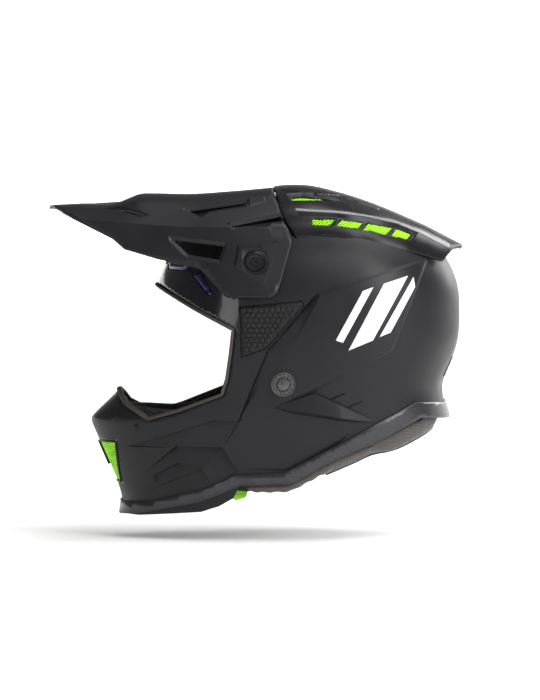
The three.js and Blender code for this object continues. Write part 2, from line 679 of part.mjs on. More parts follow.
const HANGING = [[107.6, 10], [106.8, -12], [102.2, -33], [92, -58], [73, -78], [52, -86.2]];
const RING_BARS = [{ z: -85.9, farZ: -83.6 }, { z: -90.1, farZ: -93 }];
const RING_Y = -42;
const RING_FAR_Y = -16;

// The outline of a slot with round ends that stands upright about (y, z).
function capsule(y, z, half, radius) {
  const points = [];
  for (let i = 0; i < 12; i++) {
    const a = (Math.PI * 2 * (i + 0.5)) / 12;
    points.push([y + radius * Math.cos(a), z + radius * Math.sin(a) + (Math.sin(a) > 0 ? half : -half)]);
  }
  return points;
}

function strapLeft() {
  const path = HANGING.map(([y, z]) => [-y, z]);
  const end = [...path, [RING_Y - 4, -87.6]];
  const eye = frontPrism(capsule(RING_Y, -88, 2.4, 4.6), STRAP_X[0], STRAP_X[1]);
  const hole = frontPrism(capsule(RING_Y, -88, 2.4, 2.5), -60, 0);
  const strap = webbing(end).add(eye).subtract(hole);
  return strap.subtract(sideBar(RIVET.x, RIVET.z, RIVET.shank + HOLE_PLAY, 90, 125, LEFT, 16));
}

function strapRight() {
  const tail = [
    [20, -88.3], [-6, -88.3], [-22, -88.6], [-28.5, -90.4], [-30.4, -93.4], [-28, -96.4], [-16, -97.4],
    [28, -97], [40, -95.4],
  ];
  const strap = webbing([...HANGING, ...tail]);
  return strap.subtract(sideBar(RIVET.x, RIVET.z, RIVET.shank + HOLE_PLAY, 90, 125, RIGHT, 16));
}

// A steel wire ring: its straight bar lies in the eye of the left strap.
function dRing({ z, farZ }) {
  const middle = (STRAP_X[0] + STRAP_X[1]) / 2;
  const half = 15.5;
  const plan = [
    [-half + 1, 0], [half - 1, 0], [half, 1.5], [half, 18], [10.5, 26], [-10.5, 26], [-half, 18],
    [-half, 1.5],
  ];
  const points = plan.map(([x, t]) => {
    const f = t / 26;
    return new THREE.Vector3(middle + x, RING_Y + f * (RING_FAR_Y - RING_Y), z + f * (farZ - z));
  });
  const curve = new THREE.CatmullRomCurve3(points, true, 'catmullrom', 0.35);
  return solid(new THREE.TubeGeometry(curve, 28, 1.6, 6, true));
}

const strapSnap = () => post(-28.9, 34, 6, -101.6, -98.8, 16);

const strapHanger = (side) => {
  const plate = prism([[-40, -8], [-18, -8], [-18, 8], [-24, 13], [-34, 13], [-40, 8]], 109.4, 110.6);
  const placed = side === RIGHT ? plate : plate.mirror([0, 1, 0]);
  const hole = sideBar(RIVET.x, RIVET.z, RIVET.shank + HOLE_PLAY, 90, 125, side, 16);
  return placed.intersect(form(-WALL - GAP)).subtract(hole);
};

function strapRivet(side) {
  const wall = halfWidth(RIVET.x, RIVET.z) + RAISED;
  const disc = sideBar(RIVET.x, RIVET.z, RIVET.flange, wall - 8, wall + 2.2, side, 24);
  const flange = disc.subtract(form(RAISED + 0.35));
  const cap = sideBar(RIVET.x, RIVET.z, RIVET.cap, wall + 0.6, wall + 3.4, side, 16);
  const shank = sideBar(RIVET.x, RIVET.z, RIVET.shank, 103.6, wall + 1.5, side, 12);
  const tail = sideBar(RIVET.x, RIVET.z, RIVET.tail, 102.6, 104.6, side, 12);
  return flange.add(cap).add(shank).add(tail);
}

// ---- Small chin screws --------------------------------------------------------------------------------

const CHIN_SCREWS = [{ tag: 'front', x: -180, z: -35 }, { tag: 'rear', x: -166, z: -42 }];

function chinScrew({ x, z }, side) {
  const wall = halfWidth(x, z);
  return sideBar(x, z, 2.6, wall - 12, wall + 9, side, 10).intersect(form(1.2)).subtract(form(0.3));
}

// ---- Put together -------------------------------------------------------------------------------------

add('outer_shell', outerShell(), SHELL_BLACK);
add('eye_port_trim', eyePortTrim(), RUBBER);
add('base_trim', baseTrim(), TRIM_GREY);
add('roof_spoiler', roofSpoiler(), PEAK_BLACK);
add('peak', peak(), PEAK_BLACK);
add('peak_top_screw', topScrew(), SCREW_BLACK);
add('peak_top_spacer', topSpacer(), RUBBER);
add('peak_top_nut', topNut(), STEEL);
add('mouth_vent_frame', mouthFrame(), PEAK_BLACK);
add('mouth_vent_mesh', mouthMesh(), NEON);
add('rear_vent', rearVent(), PEAK_BLACK);
add('eps_crown_liner', crownLiner(), FOAM);
add('eps_chin_liner', chinLiner(), FOAM);
add('brow_pad', comfort(BROW_PAD), FABRIC);
add('crown_pad', comfort(CROWN_PAD), FABRIC);
add('nape_pad', comfort(NAPE_PAD), FABRIC);
add('neck_roll', neckRoll(), FABRIC);
add('chin_strap_left', strapLeft(), WEBBING);
add('chin_strap_right', strapRight(), WEBBING);
add('d_ring_inner', dRing(RING_BARS[0]), STEEL);
add('d_ring_outer', dRing(RING_BARS[1]), STEEL);
add('strap_snap', strapSnap(), SCREW_BLACK);

for (const side of [LEFT, RIGHT]) {
  const tag = side === LEFT ? 'left' : 'right';
  add(`peak_screw_${tag}`, peakScrew(side), SCREW_BLACK);
  add(`peak_spacer_${tag}`, peakSpacer(side), RUBBER);
  add(`peak_nut_${tag}`, peakNut(side), STEEL);
  add(`side_vent_mesh_${tag}`, sideMesh(side), NEON);
  add(`vent_lip_${tag}`, ventLip(side), TRIM_GREY);
  add(`brow_vent_${tag}`, inlay(BROW_VENT, side), SMOKED);
  add(`temple_vent_${tag}`, inlay(TEMPLE_VENT, side), SMOKED);
  add(`texture_insert_${tag}`, inlay(GRIP_PAD, side), RUBBER);
  add(`side_fin_${tag}`, sideFin(side), PEAK_BLACK);
  add(`strap_rivet_${tag}`, strapRivet(side), STEEL);
  add(`strap_hanger_${tag}`, strapHanger(side), STEEL);
  add(`cheek_pad_${tag}`, cheekPad(side), FABRIC);
  add(`cheek_plate_${tag}`, cheekPlate(side), FOAM);
  add(`release_tab_${tag}`, releaseTab(side), NEON);
  for (const place of CHIN_SCREWS) add(`chin_screw_${place.tag}_${tag}`, chinScrew(place, side), STEEL);
}

export default helmet;
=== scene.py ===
"""Motocross helmet in detail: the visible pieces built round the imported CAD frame."""

import math

import bpy
import numpy as np
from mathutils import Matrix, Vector
from mathutils.geometry import delaunay_2d_cdt


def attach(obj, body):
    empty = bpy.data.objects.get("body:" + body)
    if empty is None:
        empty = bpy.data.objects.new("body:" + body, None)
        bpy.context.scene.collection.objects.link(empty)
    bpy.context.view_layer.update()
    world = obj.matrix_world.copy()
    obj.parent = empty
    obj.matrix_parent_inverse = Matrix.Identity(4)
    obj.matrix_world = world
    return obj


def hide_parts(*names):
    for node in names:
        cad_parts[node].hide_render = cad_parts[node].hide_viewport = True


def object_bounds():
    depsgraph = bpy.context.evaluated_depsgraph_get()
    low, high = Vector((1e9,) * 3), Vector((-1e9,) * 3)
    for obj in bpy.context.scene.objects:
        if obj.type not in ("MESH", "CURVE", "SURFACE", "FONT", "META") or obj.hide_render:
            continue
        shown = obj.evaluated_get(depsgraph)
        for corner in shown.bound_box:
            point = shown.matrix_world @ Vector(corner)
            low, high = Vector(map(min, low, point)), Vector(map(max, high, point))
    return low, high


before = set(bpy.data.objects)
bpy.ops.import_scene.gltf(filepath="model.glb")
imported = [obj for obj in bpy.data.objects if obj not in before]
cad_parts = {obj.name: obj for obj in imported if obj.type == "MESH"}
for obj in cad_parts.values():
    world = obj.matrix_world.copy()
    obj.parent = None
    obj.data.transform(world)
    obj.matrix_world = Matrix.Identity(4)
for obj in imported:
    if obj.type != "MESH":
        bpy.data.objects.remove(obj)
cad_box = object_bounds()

MM = 0.001
SIDES = {"left": -1, "right": 1}

# ---- Driving dimensions, in millimetres, the same as the CAD's ------------------------------------------

CROWN_X, CROWN_Z = -7.0, 72.6
CROWN_FRONT, CROWN_BACK, CROWN_RISE = 144.0, 142.5, 102.0
CROWN_HALF_WIDTH = 121.0
FRONT_LINE = [(72.6, -151), (-10, -184.7), (-36, -211.7), (-95, -186), (-111, -181), (-140, -185)]
REAR_LINE = [
    (72.6, 135.5), (52, 135.6), (35, 134), (17, 127.3), (0, 119.8), (-10, 118.6), (-29, 124), (-40, 127),
    (-140, 115),
]
WIDTH_LINE = [(72.6, 121), (40, 122), (0, 118.5), (-40, 111), (-80, 104), (-140, 97)]
FORM_CENTRE = np.array([-12.0, 0.0, 20.0])
FORM_FLOOR = -138.0

# Outlines seen from the side, (x, z).
EYE_PORT = [
    (-240, 100), (-240, -9), (-184.7, -10.2), (-177.7, -21.6), (-154.7, -35.9), (-126, -27.5), (-84, -11.5),
    (-79, 4), (-75.5, 28), (-73, 50.8), (-110.5, 70.1), (-146.3, 90.4), (-151, 99),
]
LOWER_EDGE = [
    (-260, -124.5), (-183.6, -124.5), (-165.5, -125.2), (-105.6, -120), (-88.8, -114.4), (-76, -107),
    (-70, -94), (-22.6, -92.8), (20.7, -69.1), (55.4, -54.5), (97, -32.3), (124, -34), (170, -34),
]
BAND_TOP = [
    (-260, -112.5), (-181, -111.8), (-153.6, -110.3), (-103.2, -97), (-73.3, -83.3), (-28.2, -80.6),
    (92.8, -17.3), (117.2, -18.7), (170, -18.7),
]
BAND_BOTTOM = [
    (-260, -124), (-184, -124), (-165, -122), (-104, -109), (-68.6, -93.5), (-22.6, -92.3), (20.7, -68.6),
    (55.4, -54), (97, -31.8), (124, -33.5), (170, -33.5),
]
PANEL_FRONT = [(2.8, 84), (-16.5, 48), (-61, -19), (-74, -40)]
SIDE_PANEL = [*PANEL_FRONT, (-37, -22.8), (0.7, -6.6), (70.5, 29), (74.5, 36), (104.5, 113), (102.5, 116)]
GRIP_PAD = [(-70.5, 71.4), (-11.3, 77.1), (-9.4, 73.3), (-45, 32), (-68.6, 23.5), (-69.5, 50.8)]
FOLD = [(-4.6, 75.4), (-43, 31), (-58, -4), (-69.8, -34.5)]
BROW_VENT = [(-139, 112.6), (-118, 112.6), (-116.5, 106.4), (-122.6, 103.4), (-137, 104.2)]
TEMPLE_VENT = [(-115, 100.6), (-105.5, 102), (-93.5, 81.4), (-98, 80.6)]
BROW_GLOSS = [(-160, 118), (-70, 118), (-70, 46), (-110, 67), (-160, 92)]
MOUTH_VENT = [(0, -55), (40, -55), (33, -70), (20, -97), (0, -97)]  # front view, (y, z), half of it
REAR_VENT = [(0, 4), (30, 4), (24, 22), (0, 22)]  # rear view, (y, z), half of it
RAISED = 2.0
RIVET = (-28.9, 0.0)
SCREW = (-54.7, 112.6)

# Walls of the hard pieces.
SHELL_WALL, BAND_WALL, PEAK_WALL, ROOF_WALL, NET_WALL = 3.6, 1.3, 2.8, 3.2, 0.9


# ---- Curves and the helmet's outer form -----------------------------------------------------------------


def xyz(x, y, z):
    """Points from three coordinates, each an array or one number for all."""
    return np.stack(np.broadcast_arrays(x, y, z), axis=1).astype(float)


def flowing(x, xs, ys):
    """A smooth curve through points: cubic pieces whose slopes don't overshoot."""
    xs, ys = np.asarray(xs, float), np.asarray(ys, float)
    step = np.diff(xs)
    slope = np.diff(ys) / step
    tangent = np.concatenate([[slope[0]], (slope[:-1] + slope[1:]) / 2, [slope[-1]]])
    flat = np.concatenate([[False], slope[:-1] * slope[1:] <= 0, [False]])
    tangent[flat] = 0
    x = np.clip(x, xs[0], xs[-1])
    i = np.clip(np.searchsorted(xs, x) - 1, 0, len(step) - 1)
    h = step[i]
    t = (x - xs[i]) / h
    return (
        ys[i] * (1 + 2 * t) * (1 - t) ** 2
        + h * tangent[i] * t * (1 - t) ** 2
        + ys[i + 1] * t * t * (3 - 2 * t)
        + h * tangent[i + 1] * t * t * (t - 1)
    )


def eased(line, z, reach):
    """The value at height z on a falling line of (height, value) points, its corners rounded over reach."""
    heights = [p[0] for p in line][::-1]
    values = [p[1] for p in line][::-1]
    shifts = np.linspace(-reach, reach, 5)
    return np.mean([np.interp(z + s, heights, values) for s in shifts], axis=0)


def half_width(x, z, grow=0.0):
    """Half the helmet's width at side-view points, for its outer face moved out by grow."""
    x, z = np.asarray(x, float), np.asarray(z, float)
    above = z > CROWN_Z
    v = np.clip((z - CROWN_Z) / (CROWN_RISE + grow), 0, 1)
    dome = np.sqrt(1 - v * v)
    round_top = (CROWN_HALF_WIDTH + grow) * (1 - v**2.2) ** (1 / 2.2)
    width = np.where(above, round_top, eased(WIDTH_LINE, z, 16) + grow)
    front = np.where(above, CROWN_X - (CROWN_FRONT + grow) * dome, eased(FRONT_LINE, z, 3) - grow)
    rear = np.where(above, CROWN_X + (CROWN_BACK + grow) * dome, eased(REAR_LINE, z, 8) + grow)
    low = np.clip((CROWN_Z - z) / 108, 0, 1)
    middle = np.where(above, CROWN_X + 17 * dome, 10 - 10 * low)
    ahead = x < middle
    power = np.where(ahead, 2.2 - 0.35 * low, 2.3)
    reach = np.where(ahead, front, rear) - middle
    u = np.clip((x - middle) / np.where(np.abs(reach) < 1e-9, 1e-9, reach), 0, 1)
    return width * (1 - u**power) ** (1 / power)


def shell_place(uv, grow=0.0):
    """Points of the form's left half. uv is the way from its centre: the angle off the side, then round."""
    a = np.hypot(uv[:, 0], uv[:, 1])
    b = np.arctan2(uv[:, 1], uv[:, 0])
    way = np.stack([np.sin(a) * np.cos(b), -np.cos(a), np.sin(a) * np.sin(b)], axis=1)
    way[a > math.pi / 2 - 1e-6, 1] = 0
    low, high = np.zeros(len(uv)), np.full(len(uv), 330.0)
    for _ in range(32):
        r = (low + high) / 2
        p = FORM_CENTRE + way * r[:, None]
        inside = (np.abs(p[:, 1]) < half_width(p[:, 0], p[:, 2], grow)) & (p[:, 2] > FORM_FLOOR - grow)
        low, high = np.where(inside, r, low), np.where(inside, high, r)
    return FORM_CENTRE + way * low[:, None]


def shell_uv(points):
    """Where side-view points (x, z) lie in shell_place's uv."""
    points = np.asarray(points, float)
    x, z = points[:, 0], points[:, 1]
    away = xyz(x, -half_width(x, z), z) - FORM_CENTRE
    a = np.arccos(np.clip(-away[:, 1] / np.linalg.norm(away, axis=1), -1, 1))
    b = np.arctan2(away[:, 2], away[:, 0])
    return np.stack([a * np.cos(b), a * np.sin(b)], axis=1)


def shell_uv_end(points, front=True):
    """Where front-view or rear-view points (y, z) lie in shell_place's uv."""
    out = []
    for y, z in points:
        inner, outer = FORM_CENTRE[0], -260.0 if front else 200.0
        for _ in range(40):
            x = (inner + outer) / 2
            if half_width(x, z) > y:
                inner = x
            else:
                outer = x
        away = np.array([inner, -y, z]) - FORM_CENTRE
        a = math.acos(np.clip(-away[1] / np.linalg.norm(away), -1, 1))
        b = math.atan2(away[2], away[0])
        out.append((a * math.cos(b), a * math.sin(b)))
    return np.array(out)


# ---- Outlines -------------------------------------------------------------------------------------------


def dense(points, step, closed=True):
    """The outline with points added so that none is further than step from the next."""
    points = [np.asarray(p, float) for p in points]
    ring = points + points[:1] if closed else points
    out = []
    for a, b in zip(ring, ring[1:]):
        n = max(1, math.ceil(np.linalg.norm(b - a) / step))
        out += [a + (b - a) * i / n for i in range(n)]
    if not closed:
        out.append(ring[-1])
    return np.array(out)


def inset(outline, d):
    """The outline moved in by d at every edge; a negative d moves it out."""
    p = np.asarray(outline, float)
    following = np.roll(p, -1, axis=0)
    turn = np.sign(np.sum(p[:, 0] * following[:, 1] - following[:, 0] * p[:, 1]))
    edge = following - p
    edge /= np.linalg.norm(edge, axis=1)[:, None]
    inward = np.stack([-edge[:, 1], edge[:, 0]], axis=1) * turn
    before = np.roll(inward, 1, axis=0)
    middle = before + inward
    middle /= np.linalg.norm(middle, axis=1)[:, None]
    reach = d / np.maximum(0.35, np.sum(middle * before, axis=1))
    return p + middle * reach[:, None]


def distance(points, line, closed=True):
    """Distance from each point to a polyline."""
    ends = np.roll(line, -1, axis=0) if closed else line[1:]
    starts = line if closed else line[:-1]
    best = np.full(len(points), 1e9)
    for a, b in zip(starts, ends):
        d = b - a
        t = np.clip((points - a) @ d / max(d @ d, 1e-18), 0, 1)
        best = np.minimum(best, np.hypot(*(points - a - t[:, None] * d).T))
    return best


def inside(points, polygon, slack=0.0):
    """Which points are inside the polygon, or within slack of its edge."""
    x, y = points[:, 0], points[:, 1]
    odd = np.zeros(len(points), bool)
    for (x0, y0), (x1, y1) in zip(polygon, np.roll(polygon, -1, axis=0)):
        if y0 == y1:
            continue
        crosses = (y0 > y) != (y1 > y)
        odd ^= crosses & (x < (x1 - x0) * (y - y0) / (y1 - y0) + x0)
    if slack:
        odd |= distance(points, polygon) < slack
    return odd


def spread(points, polygon, values):
    """Values given at a polygon's corners, spread smoothly over points inside it (mean value coordinates)."""
    total, weight = np.zeros(len(points)), np.zeros(len(points))
    n = len(polygon)
    away = [np.asarray(p) - points for p in polygon]
    length = [np.maximum(np.hypot(*s.T), 1e-9) for s in away]
    half = []
    for i in range(n):
        a, b = away[i], away[(i + 1) % n]
        cross = a[:, 0] * b[:, 1] - a[:, 1] * b[:, 0]
        dot = np.sum(a * b, axis=1)
        angle = np.arctan2(cross, dot)
        half.append(np.tan(np.clip(angle / 2, -1.5699, 1.5699)))
    for i in range(n):
        w = (half[i - 1] + half[i]) / length[i]
        total += w * values[i]
        weight += w
    return total / np.where(np.abs(weight) < 1e-12, 1e-12, weight)


# ---- Panels: a detailed surface made from outlines ------------------------------------------------------


CRISP = 0.8  # millimetres over which the surface steps down at a facet's edge


class Panel:
    """A curved sheet over a flat domain. Outlines become real edges, steps, grooves and openings in it."""

    def __init__(self, place, to_uv, outline, spacing, detail):
        self.place, self.to_uv, self.spacing, self.detail = place, to_uv, spacing, detail
        self.outline = outline
        self.lines, self.holes, self.lifts, self.facets, self.paints = [(outline, True)], [], [], [], []

    def convert(self, outline, closed=True):
        """The outline in the flat domain, with points close enough to follow the curve."""
        return self.to_uv(dense(outline, self.detail, closed))

    def hole(self, outline, converted=False):
        """An opening; a converted outline is already in the flat domain."""
        uv = outline if converted else self.convert(outline)
        self.lines.append((uv, True))
        self.holes.append(uv)

    def step(self, outline, height, bevel, fade=None):
        """The area inside stands height proud, its sloping edge bevel wide. Along fade it grows from 0."""
        self.lines.append((self.convert(outline), True))
        outer, inner = self.convert(outline), self.convert(inset(outline, bevel))
        self.lines.append((inner, True))

        def rise(p):
            top = inside(p, inner, self.spacing * 0.02)
            out = np.where(top, height, 0.0)
            slope = inside(p, outer) & ~top
            down, up = distance(p[slope], outer), distance(p[slope], inner)
            out[slope] = height * down / (down + up)
            if fade:
                start, end = self.to_uv(np.array(fade, float))
                share = (p - start) @ (end - start) / ((end - start) @ (end - start))
                out *= np.clip(share, 0, 1)
            return out

        self.lifts.append(rise)

    def groove(self, points, depth, width):
        """An engraved line: a V along the points."""
        path = np.asarray(points, float)
        ahead = np.gradient(path, axis=0)
        ahead /= np.linalg.norm(ahead, axis=1)[:, None]
        across = np.stack([-ahead[:, 1], ahead[:, 0]], axis=1) * width / 2
        rim = np.concatenate([path + across, (path - across)[::-1]])
        self.lines.append((self.convert(rim), True))
        centre = self.convert(path, closed=False)[1:-1]
        self.lines.append((centre, False))
        self.lifts.append(
            lambda p: np.where(distance(p, centre, False) < self.spacing * 0.02, -depth, 0.0)
        )

    def facet(self, corners):
        """A flat-sided swelling: corners are (x, z, height)."""
        outline = [c[:2] for c in corners]
        polygon = self.to_uv(np.array(outline, float))
        edge = self.convert(outline)
        self.lines.append((edge, True))
        self.lines.append((self.convert(inset(outline, -CRISP)), True))
        heights = [c[2] for c in corners]

        def rise(p):
            near = inside(p, edge, self.spacing * 0.02)
            out = np.zeros(len(p))
            out[near] = spread(p[near], polygon, heights)
            return out

        self.facets.append(rise)

    def paint(self, outline, index):
        """Faces inside the outline take material slot index."""
        uv = self.convert(outline)
        self.lines.append((uv, True))
        self.paints.append((uv, index))

    def grid(self):
        """Evenly spread points inside the outline that keep clear of every line."""
        (u0, v0), (u1, v1) = self.outline.min(axis=0), self.outline.max(axis=0)
        rows = np.arange(v0, v1, self.spacing * 0.866)
        points = []
        for k, v in enumerate(rows):
            start = u0 + self.spacing * 0.5 * (k % 2)
            points += [(u, v) for u in np.arange(start, u1, self.spacing)]
        points = np.array(points)
        points = points[inside(points, self.outline)]
        for line, closed in self.lines:
            low, high = line.min(axis=0) - self.spacing, line.max(axis=0) + self.spacing
            near = np.all((points > low) & (points < high), axis=1)
            close = np.zeros(len(points), bool)
            close[near] = distance(points[near], line, closed) < self.spacing * 0.42
            points = points[~close]
        return points

    def build(self, grow=0.0, mirror=True):
        """(points in millimetres, faces, material index of each face) with the right half added."""
        points = [Vector(p) for p in self.grid()]
        edges = []
        for line, closed in self.lines:
            first = len(points)
            points += [Vector(p) for p in line]
            last = first + len(line) - 1
            edges += [(i, i + 1) for i in range(first, last)]
            if closed:
                edges.append((last, first))
        made = delaunay_2d_cdt(points, edges, [], 0, self.spacing * 1e-3)
        uv = np.array([tuple(p) for p in made[0]])
        faces = np.array([f for f in made[2] if len(f) == 3])
        centre = uv[faces].mean(axis=1)
        kept = inside(centre, self.outline)
        for hole in self.holes:
            kept &= ~inside(centre, hole)
        faces, centre = faces[kept], centre[kept]
        index = np.zeros(len(faces), int)
        for polygon, number in self.paints:
            index[inside(centre, polygon)] = number
        position = self.raise_points(uv, grow)
        return whole(position, faces, index, mirror)

    def raise_points(self, uv, grow):
        """The domain's points on the surface, lifted along its normal by the steps, grooves and facets."""
        base = self.place(uv, grow)
        h = self.spacing * 0.1
        du = self.place(uv + (h, 0), grow) - self.place(uv - (h, 0), grow)
        dv = self.place(uv + (0, h), grow) - self.place(uv - (0, h), grow)
        normal = np.cross(du, dv)
        normal /= np.maximum(np.linalg.norm(normal, axis=1), 1e-12)[:, None]
        outward = np.sum(normal * (base - FORM_CENTRE), axis=1)
        normal *= np.sign(outward)[:, None]
        lift = sum((rise(uv) for rise in self.lifts), np.zeros(len(uv)))
        folded = np.zeros(len(uv))
        for rise in self.facets:
            height = rise(uv)
            folded = np.where(np.abs(height) > np.abs(folded), height, folded)
        lift += folded
        moved = base + normal * lift[:, None]
        moved[np.abs(base[:, 1]) < 1e-3, 1] = 0
        return moved


def whole(points, faces, index, mirror):
    """Drops unused points, turns faces outwards, and adds the mirrored half."""
    used = np.unique(faces)
    number = np.full(len(points), -1)
    number[used] = np.arange(len(used))
    points, faces = points[used], number[faces]
    a, b, c = (points[faces[:, k]] for k in range(3))
    outward = np.sum(np.cross(b - a, c - a) * ((a + b + c) / 3 - FORM_CENTRE), axis=1)
    if np.sum(outward) < 0:
        faces = faces[:, ::-1]
    if not mirror:
        return points, faces, index
    other = np.where(np.abs(points[:, 1]) < 1e-3, np.arange(len(points)), -1)
    new = np.flatnonzero(other < 0)
    other[new] = len(points) + np.arange(len(new))
    both = np.concatenate([points, points[new] * (1, -1, 1)])
    return both, np.concatenate([faces, other[faces][:, ::-1]]), np.concatenate([index, index])


def linked(name, data):
    """A new object in the scene."""
    obj = bpy.data.objects.new(name, data)
    bpy.context.scene.collection.objects.link(obj)
    return obj


def make(name, points, faces, materials, index=None, sharp=13):
    """An object from points in millimetres, smooth but for edges sharper than sharp degrees."""
    mesh = bpy.data.meshes.new(name)
    mesh.from_pydata([tuple(p) for p in np.asarray(points, float) * MM], [], [tuple(f) for f in faces])
    mesh.validate()
    for material in materials if isinstance(materials, (list, tuple)) else [materials]:
        mesh.materials.append(material)
    if index is not None and len(index) == len(mesh.polygons):
        mesh.polygons.foreach_set("material_index", [int(i) for i in index])
    mesh.shade_smooth()
    mesh.set_sharp_from_angle(angle=math.radians(sharp))
    return linked(name, mesh)


def thicken(obj, thickness, offset=-1.0):
    """Gives a sheet its wall, inwards unless offset says otherwise."""
    wall = obj.modifiers.new("wall", "SOLIDIFY")
    wall.thickness = thickness * MM
    wall.offset = offset
    return obj


def place_in_frame(obj, body, nodes=()):
    """obj rides a body and stands for these CAD nodes."""
    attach(obj, body)
    if nodes:
        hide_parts(*nodes)
    return obj


def left_and_right(points, faces):
    """(side, points, faces) of a left piece and its mirror image."""
    yield "left", points, faces
    yield "right", points * (1, -1, 1), [tuple(f)[::-1] for f in faces]


def pair(name, points, faces, look, body, node=None, wall=None, sharp=13):
    """A left piece and its mirror image; node names the CAD node of each, with {} for its side."""
    for side, p, f in left_and_right(points, faces):
        obj = make(f"{name}_{side}", p, f, look, sharp=sharp)
        if wall:
            thicken(obj, wall)
        place_in_frame(obj, body, [node.format(side)] if node else ())


# ---- Materials ------------------------------------------------------------------------------------------


def material(name, colour, roughness, metallic=0.0, coat=0.0, sheen=0.0, specular=0.22):
    """A Principled material and its node tree; every constant sits on the shader's own socket."""
    made = bpy.data.materials.new(name)
    made.use_nodes = True
    shader = made.node_tree.nodes["Principled BSDF"]
    shader.inputs["Base Color"].default_value = (*colour, 1)
    shader.inputs["Roughness"].default_value = roughness
    shader.inputs["Metallic"].default_value = metallic
    shader.inputs["Coat Weight"].default_value = coat
    shader.inputs["Coat Roughness"].default_value = 0.08
    shader.inputs["Sheen Weight"].default_value = sheen
    shader.inputs["Specular IOR Level"].default_value = specular
    return made


def node(made, kind, **values):
    """A new shader node, its properties or input sockets set by name."""
    new = made.node_tree.nodes.new(kind)
    for key, value in values.items():
        if hasattr(new, key):
            setattr(new, key, value)
        else:
            new.inputs[key.replace("_", " ")].default_value = value
    return new


def link(made, source, target):
    """Joins one socket to another in the material's tree."""
    made.node_tree.links.new(source, target)


def in_object_space(made, kind, **values):
    """A texture node that follows the object's own coordinates, its scale in cells per metre."""
    place = node(made, "ShaderNodeTexCoord")
    texture = node(made, kind, **values)
    link(made, place.outputs["Object"], texture.inputs["Vector"])
    return texture


def noise(made, scale, detail=3.0):
    """A noise pattern over the object."""
    return in_object_space(made, "ShaderNodeTexNoise", Scale=scale, Detail=detail).outputs["Fac"]


def ranged(made, source, low, high, start=0.35, end=0.65):
    """source, from start to end, becomes low to high."""
    fit = node(made, "ShaderNodeMapRange")
    for key, value in (("From Min", start), ("From Max", end), ("To Min", low), ("To Max", high)):
        fit.inputs[key].default_value = value
    link(made, source, fit.inputs["Value"])
    return fit.outputs["Result"]


def bumped(made, source, strength, reach=0.001):
    """Adds source as a bump to the material's shader."""
    bump = node(made, "ShaderNodeBump", Strength=strength, Distance=reach)
    link(made, source, bump.inputs["Height"])
    link(made, bump.outputs["Normal"], made.node_tree.nodes["Principled BSDF"].inputs["Normal"])


def worn(made, low, high, scale=30.0):
    """Roughness that drifts between low and high over the surface."""
    value = ranged(made, noise(made, scale, 5.0), low, high)
    link(made, value, made.node_tree.nodes["Principled BSDF"].inputs["Roughness"])


def tinted(made, dark, light, source):
    """Base colour between dark and light as source goes from 0 to 1."""
    ramp = node(made, "ShaderNodeValToRGB")
    ramp.color_ramp.elements[0].color = (*dark, 1)
    ramp.color_ramp.elements[1].color = (*light, 1)
    link(made, source, ramp.inputs["Fac"])
    link(made, ramp.outputs["Color"], made.node_tree.nodes["Principled BSDF"].inputs["Base Color"])


def satin_black(name, colour, low, high):
    """Painted or moulded black plastic with a faint orange peel."""
    made = material(name, colour, (low + high) / 2)
    worn(made, low, high)
    bumped(made, noise(made, 900.0, 2.0), 0.12, 0.0002)
    return made


def woven(name, colour, light, cell, strength=0.5):
    """Cloth: two crossed wave textures, cell metres apart."""
    made = material(name, colour, 0.9, sheen=0.25)
    cross = node(made, "ShaderNodeMath", operation="MULTIPLY")
    for way, direction in enumerate(("X", "Z")):
        values = {"bands_direction": direction, "Scale": 0.32 / cell, "Distortion": 1.2, "Detail_Scale": 2.0}
        wave = in_object_space(made, "ShaderNodeTexWave", **values)
        link(made, wave.outputs["Fac"], cross.inputs[way])
    tinted(made, colour, light, cross.outputs["Value"])
    bumped(made, cross.outputs["Value"], strength, 0.0005)
    return made


def flake_grey():
    """Dark metallic paint: fine bright flakes under clear coat."""
    made = material("band_flake", (0.03, 0.03, 0.033), 0.36, metallic=0.7, coat=0.25)
    cells = in_object_space(made, "ShaderNodeTexVoronoi", Scale=2600.0)
    flakes = ranged(made, cells.outputs["Distance"], 1.0, 0.0, 0.1, 0.7)
    tinted(made, (0.024, 0.024, 0.026), (0.085, 0.085, 0.09), flakes)
    return made


def beaded_foam():
    """Expanded foam: small fused beads."""
    made = material("impact_foam", (0.02, 0.02, 0.022), 0.85)
    cells = in_object_space(made, "ShaderNodeTexVoronoi", Scale=330.0)
    tinted(made, (0.035, 0.035, 0.038), (0.008, 0.008, 0.009), cells.outputs["Distance"])
    bumped(made, cells.outputs["Distance"], 0.5, 0.0006)
    return made


def plain(name, colour, low, high, metallic=0.0, coat=0.0, grain=400.0, depth=0.15):
    """A simple finish with some wear in its roughness and a fine grain."""
    made = material(name, colour, (low + high) / 2, metallic, coat)
    worn(made, low, high, 60.0)
    bumped(made, noise(made, grain, 3.0), depth, 0.0002)
    return made


